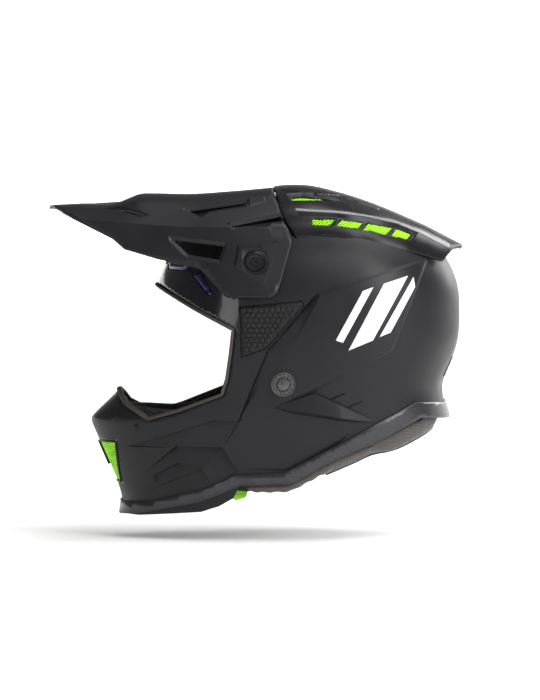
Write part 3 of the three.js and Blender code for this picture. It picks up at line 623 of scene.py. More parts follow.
SHELL = satin_black("shell_black", (0.0105, 0.0105, 0.012), 0.36, 0.46)
GLOSS = plain("brow_gloss", (0.006, 0.006, 0.008), 0.1, 0.2, coat=0.6, depth=0.03)
PEAK = satin_black("peak_black", (0.0095, 0.0095, 0.011), 0.33, 0.44)
ROOF = satin_black("roof_black", (0.0085, 0.0085, 0.01), 0.26, 0.36)
BAND = flake_grey()
LIP = plain("lip_grey", (0.2, 0.2, 0.205), 0.35, 0.45)
RUBBER = plain("trim_rubber", (0.05, 0.045, 0.04), 0.6, 0.75, grain=700.0, depth=0.3)
RELIEF = plain("relief_rubber", (0.012, 0.012, 0.013), 0.5, 0.62, grain=700.0, depth=0.2)
FOAM = beaded_foam()
CLOTH = woven("liner_cloth", (0.012, 0.012, 0.014), (0.06, 0.06, 0.066), 0.0016)
TAUPE = woven("roll_cloth", (0.05, 0.045, 0.042), (0.16, 0.145, 0.135), 0.0014)
WEB = woven("webbing", (0.008, 0.008, 0.009), (0.045, 0.045, 0.048), 0.0011, 0.8)
NEON = plain("neon_green", (0.36, 0.92, 0.012), 0.4, 0.5)
TINT = plain("smoked_tint", (0.035, 0.03, 0.12), 0.06, 0.14, metallic=0.55, coat=0.9, depth=0.02)
BOLT = plain("bolt_black", (0.009, 0.009, 0.01), 0.22, 0.34)
RIVET_GREY = plain("rivet_grey", (0.085, 0.083, 0.083), 0.3, 0.42, metallic=0.6)
STEEL = plain("plated_steel", (0.5, 0.5, 0.52), 0.2, 0.32, metallic=1.0)
NEON_WEB = woven("neon_webbing", (0.2, 0.62, 0.01), (0.45, 0.98, 0.04), 0.0009, 0.5)
THREAD = plain("thread", (0.1, 0.1, 0.105), 0.6, 0.8, grain=1500.0, depth=0.4)
WHITE = plain("decal_white", (0.82, 0.82, 0.82), 0.36, 0.44, depth=0.05)


# ---- Camera, light and floor ----------------------------------------------------------------------------


def camera():
    """A long lens level with the helmet's left side, a little above it."""
    far, azimuth, elevation = 5.0, math.radians(0.6), math.radians(2.0)
    aim = Vector((-0.0423, 0, 0.0275))
    back = Vector(
        (
            math.sin(azimuth) * math.cos(elevation),
            -math.cos(azimuth) * math.cos(elevation),
            math.sin(elevation),
        )
    )
    data = bpy.data.cameras.new("camera")
    data.sensor_width = 36
    frame_height = 0.658  # what the picture's height spans at the helmet, in metres
    data.lens = data.sensor_width * far / frame_height
    obj = linked("camera", data)
    obj.location = aim + back * far
    obj.rotation_euler = facing(-back)
    bpy.context.scene.camera = obj


def facing(way):
    """The turn that points a camera or light along way."""
    return way.to_track_quat("-Z", "Y").to_euler()


# Soft lights: where each hangs, its width and height, and its power in watts.
LIGHTS = {
    "right_key": ((1.7, -1.7, 0.9), (1.2, 1.4), 52),
    "front_top": ((0.5, -1.2, 1.35), (1.1, 0.5), 14),
    "left_fill": ((-1.6, -1.5, 0.6), (0.5, 1.2), 5),
    "rear_rim": ((1.0, 1.3, 0.8), (0.8, 1.0), 14),
}
LIT_POINT = Vector((0, 0, 0.03))
SUN_FROM = Vector((0.35, 0.05, 1))


def studio():
    """Four soft lights, a wide sun from above and a dim white room."""
    for name, (where, size, power) in LIGHTS.items():
        data = bpy.data.lights.new(name, "AREA")
        data.shape = "RECTANGLE"
        data.size, data.size_y = size
        data.energy = power
        obj = linked(name, data)
        obj.location = where
        obj.rotation_euler = facing(LIT_POINT - Vector(where))
    sun = bpy.data.lights.new("overhead", "SUN")
    sun.energy = 2.0
    sun.angle = math.radians(44)
    overhead = linked("overhead", sun)
    overhead.rotation_euler = facing(-SUN_FROM)
    world = bpy.data.worlds.new("studio")
    world.use_nodes = True
    world.node_tree.nodes["Background"].inputs["Color"].default_value = (1, 1, 1, 1)
    world.node_tree.nodes["Background"].inputs["Strength"].default_value = 0.14
    bpy.context.scene.world = world
    bpy.context.scene.view_settings.view_transform = "Standard"


def stage_sheet(name, corners, made):
    """A flat four-cornered piece of the set."""
    mesh = bpy.data.meshes.new(name)
    mesh.from_pydata(corners, [], [(0, 1, 2, 3)])
    mesh.materials.append(made)
    linked(name, mesh)


def glowing_white(name, strength):
    """Matt white that also gives off some light of its own."""
    made = material(name, (0.94, 0.94, 0.94), 0.9)
    shader = made.node_tree.nodes["Principled BSDF"]
    shader.inputs["Emission Color"].default_value = (1, 1, 1, 1)
    shader.inputs["Emission Strength"].default_value = strength
    return made


def floor():
    """A white floor under the helmet, brighter far behind it, and a bright wall at its end."""
    low = cad_box[0].z - 0.022
    half, split, wall_y, wall_top = 40, 0.9, 14, 3.0
    near = [(-half, -half, low), (half, -half, low), (half, split, low), (-half, split, low)]
    far = [(-half, split, low), (half, split, low), (half, half, low), (-half, half, low)]
    wall = [(-half, wall_y, low), (half, wall_y, low), (half, wall_y, wall_top), (-half, wall_y, wall_top)]
    stage_sheet("floor", near, glowing_white("floor_white", 0.14))
    stage_sheet("floor_far", far, glowing_white("floor_far_white", 0.5))
    stage_sheet("wall", wall, glowing_white("wall_white", 1.0))


camera()
studio()
floor()


# ---- Shell ----------------------------------------------------------------------------------------------

SIDE_STEP = 2.4  # millimetres between points along an outline
HALF_PI = math.pi / 2


def rim(step=0.03):
    """The edge of the left half's domain: a circle whose points lie on the middle plane."""
    turn = np.arange(0, 2 * math.pi, step)
    return np.stack([HALF_PI * np.cos(turn), HALF_PI * np.sin(turn)], axis=1)


def shell_panel(spacing):
    """The whole left half of the form; spacing is in radians."""
    return Panel(shell_place, shell_uv, rim(), spacing, SIDE_STEP)


def shell_patch(outline, spacing=0.02):
    """The part of the form inside an outline that is already in its domain."""
    return Panel(shell_place, shell_uv, outline, spacing, SIDE_STEP)


def beside(edge, round_by, count):
    """The part of the form's domain on one side of an edge that runs from front to back."""
    line = shell_uv(dense(edge, SIDE_STEP, closed=False))
    first, last = (math.atan2(*line[k][::-1]) for k in (0, -1))
    turn = np.linspace(last, first + round_by, count)
    beyond = HALF_PI * 1.15
    return np.concatenate([line, np.stack([beyond * np.cos(turn), beyond * np.sin(turn)], axis=1)])


def under(edge):
    """The part below such an edge."""
    return beside(edge, 0, 24)


def over(edge):
    """The part above it."""
    return beside(edge, 2 * math.pi, 60)


def outer_shell():
    """The shell with its openings, raised side panel, recesses, chin folds and engraved lines."""
    panel = shell_panel(0.024)
    panel.hole(EYE_PORT)
    panel.hole(under(LOWER_EDGE), converted=True)
    panel.hole(shell_uv_end(dense(MOUTH_VENT, SIDE_STEP)), converted=True)
    panel.hole(shell_uv_end(dense(REAR_VENT, SIDE_STEP), front=False), converted=True)
    panel.step(SIDE_PANEL, RAISED + 0.6, 3.4, fade=[(-44, 4), (8, 10)])
    fold = [(x, z, depth) for (x, z), depth in zip(FOLD, (-2.8, -2.8, -2.4, -1.2))]
    panel.facet([*fold, *((x, z, 0) for x, z in reversed(PANEL_FRONT))])
    panel.step(GRIP_PAD, -1.8, 1.0)
    panel.step(BROW_VENT, -1.9, 0.8)
    panel.step(TEMPLE_VENT, -1.9, 0.8)
    for corners in CHIN_FACETS:
        panel.facet(corners)
    panel.groove([(14.6, -13.8), (29, -8)], -1.0, 1.8)
    panel.groove([(30.5, -21.5), (44.7, -15.6)], -1.0, 1.8)
    panel.facet([(-64, -78.5, 0), (-8.7, -47.8, 0), (32.6, -44, 0), (20, -57, -2.6), (-26.7, -80, -2.6)])
    panel.paint(BROW_GLOSS, 1)
    points, faces, index = panel.build()
    obj = thicken(make("shell", points, faces, [SHELL, GLOSS], index), SHELL_WALL)
    place_in_frame(obj, "shell_body", ["outer_shell"])


# Folds of the chin bar, as corners (x, z, height): a ledge under the eye port, a hollow of three faces with
# a ledge of its own under it, and a small nose at the front.
CHIN_FACETS = [
    [(-172, -60.4, -1.5), (-92.5, -34.7, -3.4), (-70.5, -35.4, -2.6), (-85.6, -59.9, 0), (-129, -59.9, 0)],
    [(-129, -59.9, -4), (-85.6, -59.9, -4.4), (-103.6, -79, 1.2), (-125.9, -74.6, -0.4)],
    [(-85.6, -59.9, -4.4), (-72.4, -81.3, -0.6), (-95, -94.3, 0), (-103.6, -79, 1.2)],
    [(-157.4, -84.5, 0), (-129, -59.9, -4), (-125.9, -74.6, -0.4), (-149.8, -86.6, 0)],
    [(-149.8, -91.5, -0.5), (-149.8, -87.2, -2), (-125.9, -75.2, -2.6), (-104.4, -79.6, 0), (-140, -93, 0)],
    [(-161, -104, 0), (-104.4, -80.2, -1.8), (-95.6, -94.3, -0.6), (-103.2, -98.6, 0), (-153, -110, 0)],
    [(-187.4, -34.6, 1.4), (-182.5, -28.4, 0), (-177.5, -33, 0), (-186.6, -38, 0)],
]


def band():
    """The flake-painted strip along the shell's lower edge."""
    panel = shell_panel(0.026)
    panel.hole(under(BAND_BOTTOM), converted=True)
    panel.hole(over(BAND_TOP), converted=True)
    points, faces, _ = panel.build(grow=1.7)
    strip = thicken(make("base_band", points, faces, BAND), BAND_WALL)
    place_in_frame(strip, "shell_body", ["base_trim"])


# ---- Swept pieces ---------------------------------------------------------------------------------------


def rings(rows, loop):
    """One skin through rows of points that each go once round; unless it is a loop, both ends are capped."""
    n, m = len(rows[0]), len(rows)
    faces = []
    for i in range(m if loop else m - 1):
        for j in range(n):
            k, below = (j + 1) % n, (i + 1) % m
            faces.append((i * n + j, i * n + k, below * n + k, below * n + j))
    if not loop:
        faces += [tuple(range(n))[::-1], tuple(range((m - 1) * n, m * n))]
    return np.concatenate(rows), faces


def facing_out(points, faces):
    """The faces, all turned round if the closed shape they make is inside out."""
    volume = 0.0
    for f in faces:
        for k in range(1, len(f) - 1):
            volume += np.dot(points[f[0]], np.cross(points[f[k]], points[f[k + 1]]))
    return faces if volume > 0 else [tuple(f)[::-1] for f in faces]


def sweep(path, profile, closed, side_of=None):
    """A profile [(across, out)] carried along a path. side_of gives the out way: outwards when it is None."""
    path = np.asarray(path, float)
    if closed:
        ahead = np.roll(path, -1, axis=0) - np.roll(path, 1, axis=0)
    else:
        ahead = np.gradient(path, axis=0)
    ahead /= np.linalg.norm(ahead, axis=1)[:, None]
    out = path - FORM_CENTRE if side_of is None else np.array([side_of(p) for p in path])
    out -= np.sum(out * ahead, axis=1)[:, None] * ahead
    out /= np.linalg.norm(out, axis=1)[:, None]
    across = np.cross(ahead, out)
    rows = [np.array([p + a * u + o * v for u, v in profile]) for p, a, o in zip(path, across, out)]
    return rings(rows, closed)


def oval(width, height, n=12):
    """A section with n sides, for sweep()."""
    turn = [2 * math.pi * k / n for k in range(n)]
    return [(width / 2 * math.cos(a), height / 2 * math.sin(a)) for a in turn]


def there_and_back(left):
    """A left-hand path followed by its mirror image in return."""
    return np.concatenate([left, (left * (1, -1, 1))[::-1]])


def port_trim():
    """Soft gasket round the eye port: one closed bead, mirrored across the middle."""
    line = dense(inset(EYE_PORT, 1.7), 3.0)
    inside_form = half_width(line[:, 0], line[:, 1]) > 0
    start = int(np.argmax(inside_form & ~np.roll(inside_form, 1)))
    line = np.roll(line, -start, axis=0)[: int(inside_form.sum())]
    left = xyz(line[:, 0], 1.8 - half_width(line[:, 0], line[:, 1]), line[:, 1])
    points, faces = sweep(there_and_back(left), oval(3.6, 5.4), True)
    obj = make("port_gasket", points, faces, RUBBER, sharp=60)
    place_in_frame(obj, "shell_body", ["eye_port_trim"])


outer_shell()
band()
port_trim()


# ---- Peak -----------------------------------------------------------------------------------------------

RIDGE_Y = 32.0
PLATE_RISE = 2.0
CUP = 9.9  # radius of the round hole that each side screw's head sits in
# x, height at the middle, height of the ridge, then (y, z) of the shoulder, the crease and the wall's foot.
PEAK_STATIONS = [
    (-253, 162.5, 163.2, (52, 161), (74, 156.5), (82, 146)),
    (-221, 163.6, 165, (60, 161.5), (82, 151.3), (88, 118)),
    (-184, 163, 166.5, (61, 163), (89, 149), (98, 108)),
    (-174, 165.2, 170.5, (62, 166), (91, 148.4), (100, 104)),
    (-161, 168, 174.8, (63, 168.6), (94, 147), (103, 98)),
    (-121, 168, 174.2, (65, 168), (99.5, 144.6), (109, 86)),
    (-80, 170.6, 176.6, (67, 170.4), (104, 144), (120.5, 80)),
    (-54.7, 173, 178.8, (68, 172.2), (105.2, 143.6), (124.2, 80)),
    (-16, 177, 182.6, (69, 175), (106, 142.4), (125, 80)),
]
PEAK_X = [s[0] for s in PEAK_STATIONS]
PEAK_GRAIN = (3.2, 2.6)  # millimetres between points inside and along an outline
ACROSS = 30.0  # domain millimetres between one fold of the section and the next
PEAK_SIDE = [
    (-186.8, 133.3), (-175.9, 123.9), (-146.3, 115.3), (-105.8, 106), (-74.5, 72.5), (-43.4, 77.5),
    (-34, 84.2), (-20, 133.3), (-24, 142),
]
PEAK_REAR = [(-29, 150), (-34, 166), (-38.7, 176)]
PEAK_FRONT = [(-249, 0), (-249, 12), (-247.5, 30), (-242, 48), (-233, 65), (-222, 79)]
PEAK_SIDE_VENT = [(-130.7, 132.5), (-83.9, 127.1), (-88.6, 114.6), (-116.7, 119.3)]
SCREW_PLATE = [(-71, 127), (-31, 132), (-45.5, 89.5), (-74.5, 108)]
FRONT_SLOT = [(-202, 162), (-174, 160.4), (-168.5, 159.5), (-154.3, 155), (-163, 154.6), (-178, 158.4)]
REAR_SLOT = [(-117, 160), (-64.2, 167.4), (-65.4, 164.8), (-98.2, 159.6), (-106.4, 155)]
HIGH_SLOT = [(-78, 145), (-32, 154.4), (-29, 150.4), (-76, 143.6)]
HIGH_LIP = [(-80, 148), (-31, 158), (-31.5, 154.9), (-79, 145.3)]
REAR_STEP = [(-62, 170.4), (-61, 165.5), (-60, 163), (-45.5, 166.6), (-46.5, 172), (-56, 171.6)]


def peak_folds(x):
    """(y, z) of each fold of the peak's section at x: five arrays of two."""
    rows = [[(0, s[1]), (RIDGE_Y, s[2]), s[3], s[4], s[5]] for s in PEAK_STATIONS]
    return [[flowing(x, PEAK_X, [row[k][part] for row in rows]) for part in (0, 1)] for k in range(5)]


def peak_place(uv, grow=0.0):
    """Points of the peak's left half. uv is (x, distance across the section's folds)."""
    x = uv[:, 0]
    folds = peak_folds(x)
    t = np.clip(uv[:, 1] / ACROSS, 0, 4)
    k = np.minimum(t.astype(int), 3)
    y, z = np.zeros(len(x)), np.zeros(len(x))
    for i in range(4):
        here = k == i
        f = (t - i)[here]
        y[here] = folds[i][0][here] * (1 - f) + folds[i + 1][0][here] * f
        z[here] = folds[i][1][here] * (1 - f) + folds[i + 1][1][here] * f
    crown = np.clip(t - 1, 0, 1) * np.clip(2 - t, 0, 1)
    z = z + crown * 5
    points = xyz(x, -y, z)
    away = points - FORM_CENTRE
    return points + grow * away / np.linalg.norm(away, axis=1)[:, None]


def peak_uv_side(points):
    """Side-view points (x, z) below the shoulder, as the peak's uv."""
    points = np.asarray(points, float)
    folds = peak_folds(points[:, 0])
    z = points[:, 1]
    zs = [f[1] for f in folds]
    wall = 3 + (zs[3] - z) / (zs[3] - zs[4])
    slope = 2 + (zs[2] - z) / (zs[2] - zs[3])
    t = np.where(z < zs[3], wall, slope)
    return np.stack([points[:, 0], t * ACROSS], axis=1)


def peak_uv_top(points):
    """Top-view points (x, y), as the peak's uv."""
    points = np.asarray(points, float)
    folds = peak_folds(points[:, 0])
    ys = [f[0] for f in folds]
    y = points[:, 1]
    t = np.zeros(len(y))
    for i in range(4):
        f = (y - ys[i]) / (ys[i + 1] - ys[i])
        t = np.where(f >= 0, i + np.minimum(f, 1), t)
    return np.stack([points[:, 0], t * ACROSS], axis=1)


def peak_outline():
    """The peak's edge: round the front, back along the side and up the rear to the middle line."""
    front = peak_uv_top(dense(PEAK_FRONT, 3, closed=False))
    side = peak_uv_side(dense(PEAK_SIDE, 3, closed=False))
    rear = peak_uv_side(dense(PEAK_REAR, 3, closed=False))
    rear_end = np.array([(-38.9, ACROSS * 1.0), (-39.2, ACROSS * 0.5), (-39.4, 0)])
    return np.concatenate([front, side, rear, dense(rear_end, 4, closed=False)])


def peak():
    """The peak with its folds, slots, screw plate and screw hole, and the duct under its rear slot."""
    panel = Panel(peak_place, peak_uv_side, peak_outline(), *PEAK_GRAIN)
    for fold in (1, 2, 3):
        along = np.arange(-246, -41, 3.0)
        line = np.stack([along, np.full(len(along), fold * ACROSS)], axis=1)
        panel.lines.append((line[inside(line, panel.outline, 0.2)], False))
    panel.step(inset(PEAK_SIDE_VENT, -3.4), -1.6, 3.0)
    panel.hole(PEAK_SIDE_VENT)
    panel.step(HIGH_LIP, 1.7, 0.9)
    panel.step(SCREW_PLATE, PLATE_RISE, 2.2)
    turn = np.arange(0, 6.2, 0.26)
    panel.hole([(SCREW[0] + CUP * math.cos(a), SCREW[1] + CUP * math.sin(a)) for a in turn])
    for slot in (HIGH_SLOT, FRONT_SLOT, REAR_SLOT):
        panel.hole(slot)
    panel.step(inset(REAR_SLOT, -2.6), -1.2, 2.0)
    panel.step(REAR_STEP, 1.2, 1.0)
    panel.to_uv = peak_uv_top
    panel.hole([(-79, 0), (-79, 3.5), (-61, 3.5), (-61, 0)])
    points, faces, _ = panel.build()
    obj = thicken(make("peak_blade", points, faces, PEAK, sharp=16), PEAK_WALL)
    place_in_frame(obj, "peak_body", ["peak"])
    mouth = peak_uv_side(dense(inset(REAR_SLOT, -5), PEAK_GRAIN[1]))
    duct = Panel(peak_place, peak_uv_side, mouth, *PEAK_GRAIN)
    points, faces, _ = duct.build(grow=-6.5)
    place_in_frame(thicken(make("slot_duct", points, faces, PEAK), 1.2), "peak_body")


# ---- Roof spoiler ---------------------------------------------------------------------------------------

# x, half width, foot height, top height
ROOF_STATIONS = [
    (-42, 98, 130, 181.5), (-24, 99.5, 132, 183), (-5, 100, 133, 182.3), (24, 100, 132, 175.6),
    (44, 97, 128.5, 169.5), (64, 93.5, 124, 162), (86, 84.5, 118.5, 152.6), (107, 70, 112.5, 143.3),
    (124, 57, 108, 134), (140, 49, 108, 126),
]
ROOF_X = [s[0] for s in ROOF_STATIONS]
ROOF_ARC = 110.0  # domain millimetres from the roof's middle line to its foot
BULGE_Y, BULGE_Z = 0.94, 0.86  # how square the arch is
ROOF_GRAIN = 2.4  # millimetres between points along an outline
ROOF_FOOT = [(-17.6, 133.4), (20.7, 136), (63.9, 127.4), (102.8, 117.3), (119, 112.5)]
ROOF_TAIL = [(126, 50), (131, 36), (138.1, 20), (138.3, 0)]  # top view, (x, y)
ROOF_SEAM = [(-37.2, 178), (-34.5, 170), (-31, 157), (-23, 143)]
CHANNEL = [
    (-17, 158.6), (21, 156.4), (48, 152.8), (78, 146.4), (96, 138.4), (90, 131), (70, 135.4), (44, 140.8),
    (-4, 144.8),
]
WINDOWS = [
    [(-1.5, 153.4), (20.5, 153.6), (14, 147), (-3.4, 146.8)],
    [(25.4, 153.2), (46, 150.4), (40, 143.8), (20, 146.6)],
    [(50.4, 149.8), (73, 145.6), (66.5, 138.4), (44.6, 142.8)],
    [(77, 144.6), (91, 139.4), (85, 133), (71.5, 137.2)],
]
LIP_STRIP = [
    (-18, 161.4), (30, 158.2), (70, 151.2), (98, 141.4), (125, 127.6), (125.5, 123.6), (96, 138.8),
    (76, 147.2), (48, 153.6), (21, 157.2), (-18, 159.2),
]
TOP_SLOT = [(-23, 172.8), (-21, 169.6), (6, 169.8), (21, 168.8), (6, 172.4), (-12, 173.8)]


def roof_arch(x, grow=0.0):
    """(half width, foot height, top height) of the roof at x."""
    width, foot, top = (flowing(x, ROOF_X, [s[k] for s in ROOF_STATIONS]) for k in (1, 2, 3))
    return width + grow, foot, top + grow


def roof_place(uv, grow=0.0):
    """Points of the roof's left half. uv is (x, distance down from the middle line)."""
    width, foot, top = roof_arch(uv[:, 0], grow)
    a = np.clip(uv[:, 1] / ROOF_ARC, 0, 1.2) * HALF_PI
    c = np.clip(np.cos(a), 0, 1)
    y = width * np.abs(np.sin(a)) ** BULGE_Y
    z = foot + (top - foot) * c**BULGE_Z - np.maximum(uv[:, 1] - ROOF_ARC, 0)
    return xyz(uv[:, 0], -y, z)


def roof_uv_side(points):
    """Side-view points (x, z), as the roof's uv."""
    points = np.asarray(points, float)
    _, foot, top = roof_arch(points[:, 0])
    level = np.clip((points[:, 1] - foot) / (top - foot), 0, 1) ** (1 / BULGE_Z)
    down = np.maximum(foot - points[:, 1], 0)
    return np.stack([points[:, 0], np.arccos(level) / HALF_PI * ROOF_ARC + down], axis=1)


def roof_uv_top(points):
    """Top-view points (x, y), as the roof's uv."""
    points = np.asarray(points, float)
    width, _, _ = roof_arch(points[:, 0])
    share = np.clip(points[:, 1] / width, 0, 1) ** (1 / BULGE_Y)
    return np.stack([points[:, 0], np.arcsin(share) / HALF_PI * ROOF_ARC], axis=1)


def roof_outline():
    """The roof's edge: from the middle down the seam with the peak, along the foot and round the tail."""
    foot = roof_uv_side(dense(ROOF_FOOT, 3, closed=False))
    tail = roof_uv_top(dense(ROOF_TAIL, 3, closed=False))
    seam = roof_uv_side(dense(ROOF_SEAM, 3, closed=False))
    start = dense([(-38.6, 0), (-38.4, 24)], 3, closed=False)
    return np.concatenate([start, seam, foot, tail])


def roof():
    """The raised roof with its channel, windows, top slots and ridge."""
    panel = Panel(roof_place, roof_uv_side, roof_outline(), 2.8, ROOF_GRAIN)
    panel.step(CHANNEL, -2.6, 1.4)
    for window in WINDOWS:
        panel.hole(window)
    panel.step(inset(TOP_SLOT, -2.2), -1.2, 1.0)
    panel.hole(TOP_SLOT)
    ridge = [(-34, 178.5), (24, 172.6), (64, 158.6), (100, 143.5), (130, 127)]
    panel.groove(ridge, 1.2, 3.0)
    points, faces, _ = panel.build()
    obj = thicken(make("roof", points, faces, ROOF), ROOF_WALL)
    place_in_frame(obj, "shell_body", ["roof_spoiler"])


def roof_lips():
    """The light grey strip over each row of windows."""
    strip = roof_uv_side(dense(LIP_STRIP, ROOF_GRAIN))
    panel = Panel(roof_place, roof_uv_side, strip, 2.2, ROOF_GRAIN)
    points, faces, _ = panel.build(grow=0.5, mirror=False)
    pair("lip_strip", points, faces, LIP, "shell_body", "vent_lip_{}", wall=1.0)


# ---- Meshes with real openings --------------------------------------------------------------------------


def honeycomb(place, outline, cell, bar, proud=0.0):
    """A net of hexagonal openings over a domain outline, or closed bumps when proud is set."""
    low, high = outline.min(axis=0), outline.max(axis=0)
    turn = [math.pi / 3 * k + math.pi / 6 for k in range(6)]
    corner = [(math.cos(a), math.sin(a)) for a in turn]
    uv, faces, rise = [], [], []
    for row, v in enumerate(np.arange(low[1], high[1], cell * 0.866)):
        for u in np.arange(low[0] + cell / 2 * (row % 2), high[0], cell):
            if not inside(np.array([(u, v)]), outline)[0]:
                continue
            first = len(uv)
            for size in (cell / 1.732, (cell - bar) / 1.732):
                uv += [(u + size * a, v + size * b) for a, b in corner]
            rise += [0.0] * 6 + [proud] * 6
            for k in range(6):
                j = (k + 1) % 6
                faces.append((first + k, first + j, first + 6 + j, first + 6 + k))
            if proud:
                faces.append(tuple(first + 6 + k for k in range(6)))
    points = place(np.array(uv))
    away = points - FORM_CENTRE
    away /= np.linalg.norm(away, axis=1)[:, None]
    return points + away * np.array(rise)[:, None], faces


def net(name, place, outline, cell, bar, wall=NET_WALL, nodes=()):
    """Left and right neon nets; the cells' shared corners are welded."""
    points, faces = honeycomb(place, outline, cell, bar)
    for side, p, f in left_and_right(points, faces):
        obj = make(f"{name}_{side}", p, f, NEON)
        weld = obj.modifiers.new("weld", "WELD")
        weld.merge_threshold = 0.1 * MM
        thicken(obj, wall, 0)
        place_in_frame(obj, "shell_body", [n.format(side) for n in nodes])


def vent_nets():
    """The nets behind the roof's windows and top slots, and in the mouth vent."""
    strip = roof_uv_side(dense(inset(CHANNEL, 2.5), ROOF_GRAIN))
    net("side_net", lambda uv: roof_place(uv, -4.6), strip, 3.0, 1.0, nodes=["side_vent_mesh_{}"])
    slot = roof_uv_side(dense(inset(TOP_SLOT, -2.0), 2.0))
    net("top_net", lambda uv: roof_place(uv, -4.0), slot, 2.8, 0.9)
    mouth = shell_uv_end(dense([(0.6, -52.5), (44, -52.5), (36, -70), (22, -99), (0.6, -99)], SIDE_STEP))
    net("mouth_net", lambda uv: shell_place(uv, -1.2), mouth, 0.021, 0.006, 1.2, ["mouth_vent_mesh"])


def relief_inserts():
    """Rubber pads ahead of the side panels, covered in raised hexagons."""
    base = shell_patch(shell_uv(dense(inset(GRIP_PAD, 0.8), SIDE_STEP)))
    points, faces, _ = base.build(grow=-0.9, mirror=False)
    cells = shell_uv(dense(inset(GRIP_PAD, 2.6), SIDE_STEP))
    bumps, bump_faces = honeycomb(lambda uv: shell_place(uv, -0.8), cells, 0.042, 0.017, proud=1.0)
    pair("relief_pad", points, faces, RELIEF, "shell_body", "texture_insert_{}", wall=0.9)
    pair("relief_cells", bumps, bump_faces, RELIEF, "shell_body")


def tinted_inserts():
    """The smoked inserts of the brow and temple vents, each with a raised middle."""
    for place, outline in (("brow", BROW_VENT), ("temple", TEMPLE_VENT)):
        panel = shell_patch(shell_uv(dense(inset(outline, 0.9), SIDE_STEP)))
        panel.step(inset(outline, 2.2), 0.8, 0.6)
        points, faces, _ = panel.build(grow=-0.5, mirror=False)
        name, node_name = f"{place}_insert", place + "_vent_{}"
        pair(name, points, faces, TINT, "shell_body", node_name, wall=1.0)


# ---- Side fins, graphic and mouth frame -----------------------------------------------------------------

# Each station: x, heights of the top edge, crease and lower edge, then how far top edge and crease stand out.
FIN_STATIONS = [
    (-36.7, -21.4, -21.8, -22.6, 0.6, 0.8),
    (-18, -14.6, -24.4, -27.6, 2.6, 4.6),
    (0.6, -8.2, -27.2, -30.6, 3.0, 6.6),
    (24, -19.6, -31.0, -34.2, 2.8, 6.2),
    (40, -27.2, -33.6, -35.4, 1.8, 3.4),
    (57.5, -34.9, -35.2, -35.5, 0.6, 0.6),
]


def fins():
    """The creased fin low on each side of the shell."""
    rows = []
    stations = np.array(FIN_STATIONS, float)
    start, end = stations[0, 0], stations[-1, 0]
    for x in np.union1d(np.arange(start, end, 2.6), stations[:, 0]):
        top, crease, low, edge, rise = (np.interp(x, stations[:, 0], stations[:, k]) for k in range(1, 6))
        heights = [*np.linspace(top, crease, 6), *np.linspace(crease, low, 4)[1:]]
        lifts = [*np.linspace(edge, rise, 6), *np.linspace(rise, 0.2, 4)[1:]]
        outer = [(x, -(half_width(x, z) + d), z) for z, d in zip(heights, lifts)]
        sunk = [(x, 1.5 - half_width(x, z), z) for z in (top, low)]
        rows.append([sunk[0], *outer, sunk[1]])
    n = len(rows[0])
    points = np.array([p for row in rows for p in row], float)
    faces = []
    for i in range(len(rows) - 1):
        for j in range(n):
            a, b = i * n + j, i * n + (j + 1) % n
            faces.append((a, a + n, b + n, b))
    faces += [tuple(range(n)), tuple(range(len(points) - n, len(points)))[::-1]]
    pair("fin", points, faces, SHELL, "shell_body", "side_fin_{}", sharp=16)


# A plain mark of three slanted bars.
MARK_BARS = [
    [(30, 31), (52, 40), (84, 98), (62, 91)],
    [(58, 43), (68, 47), (90.5, 88), (89, 97)],
    [(18.5, 40), (25, 38), (52.5, 88), (43, 84.5)],
]


def marks():
    """The white bars, as thin as a print, on each side panel."""
    for number, outline in enumerate(MARK_BARS):
        panel = shell_patch(shell_uv(dense(outline, SIDE_STEP)))
        points, faces, _ = panel.build(grow=RAISED + 0.72, mirror=False)
        pair(f"mark_{number}", points, faces, WHITE, "shell_body", wall=0.1)


def mouth_frame():
    """Black surround of the mouth vent with its upright bar."""
    left = shell_uv_end(dense([(1.0, -57), (38, -57), (31.4, -70.5), (18.8, -95), (1.0, -95)], SIDE_STEP))
    points = shell_place(left, -1.0)
    loop = there_and_back(points[points[:, 1] < -1.2])
    points, faces = sweep(loop, oval(3.0, 3.6), True)
    obj = make("mouth_frame", points, faces, PEAK, sharp=60)
    place_in_frame(obj, "shell_body", ["mouth_vent_frame"])
    heights = np.linspace(-56.5, -79, 12)
    centre = xyz(eased(FRONT_LINE, heights, 3) + 0.6, 0, heights)
    profile = [(-4.5, -2.5), (4.5, -2.5), (3.2, 2.2), (-3.2, 2.2)]
    points, faces = sweep(centre, profile, False, lambda q: np.array([-1.0, 0, -0.2]))
    place_in_frame(make("mouth_bar", points, faces, PEAK, sharp=30), "shell_body")


# ---- Turned pieces: screws, nuts, spacers, rivets and the snap ------------------------------------------

ALONG_Z = (0, 0, 1)
CHIN_SCREWS = {"front": (-180, -35), "rear": (-166, -42)}
TOP_SCREW_X = -75.0

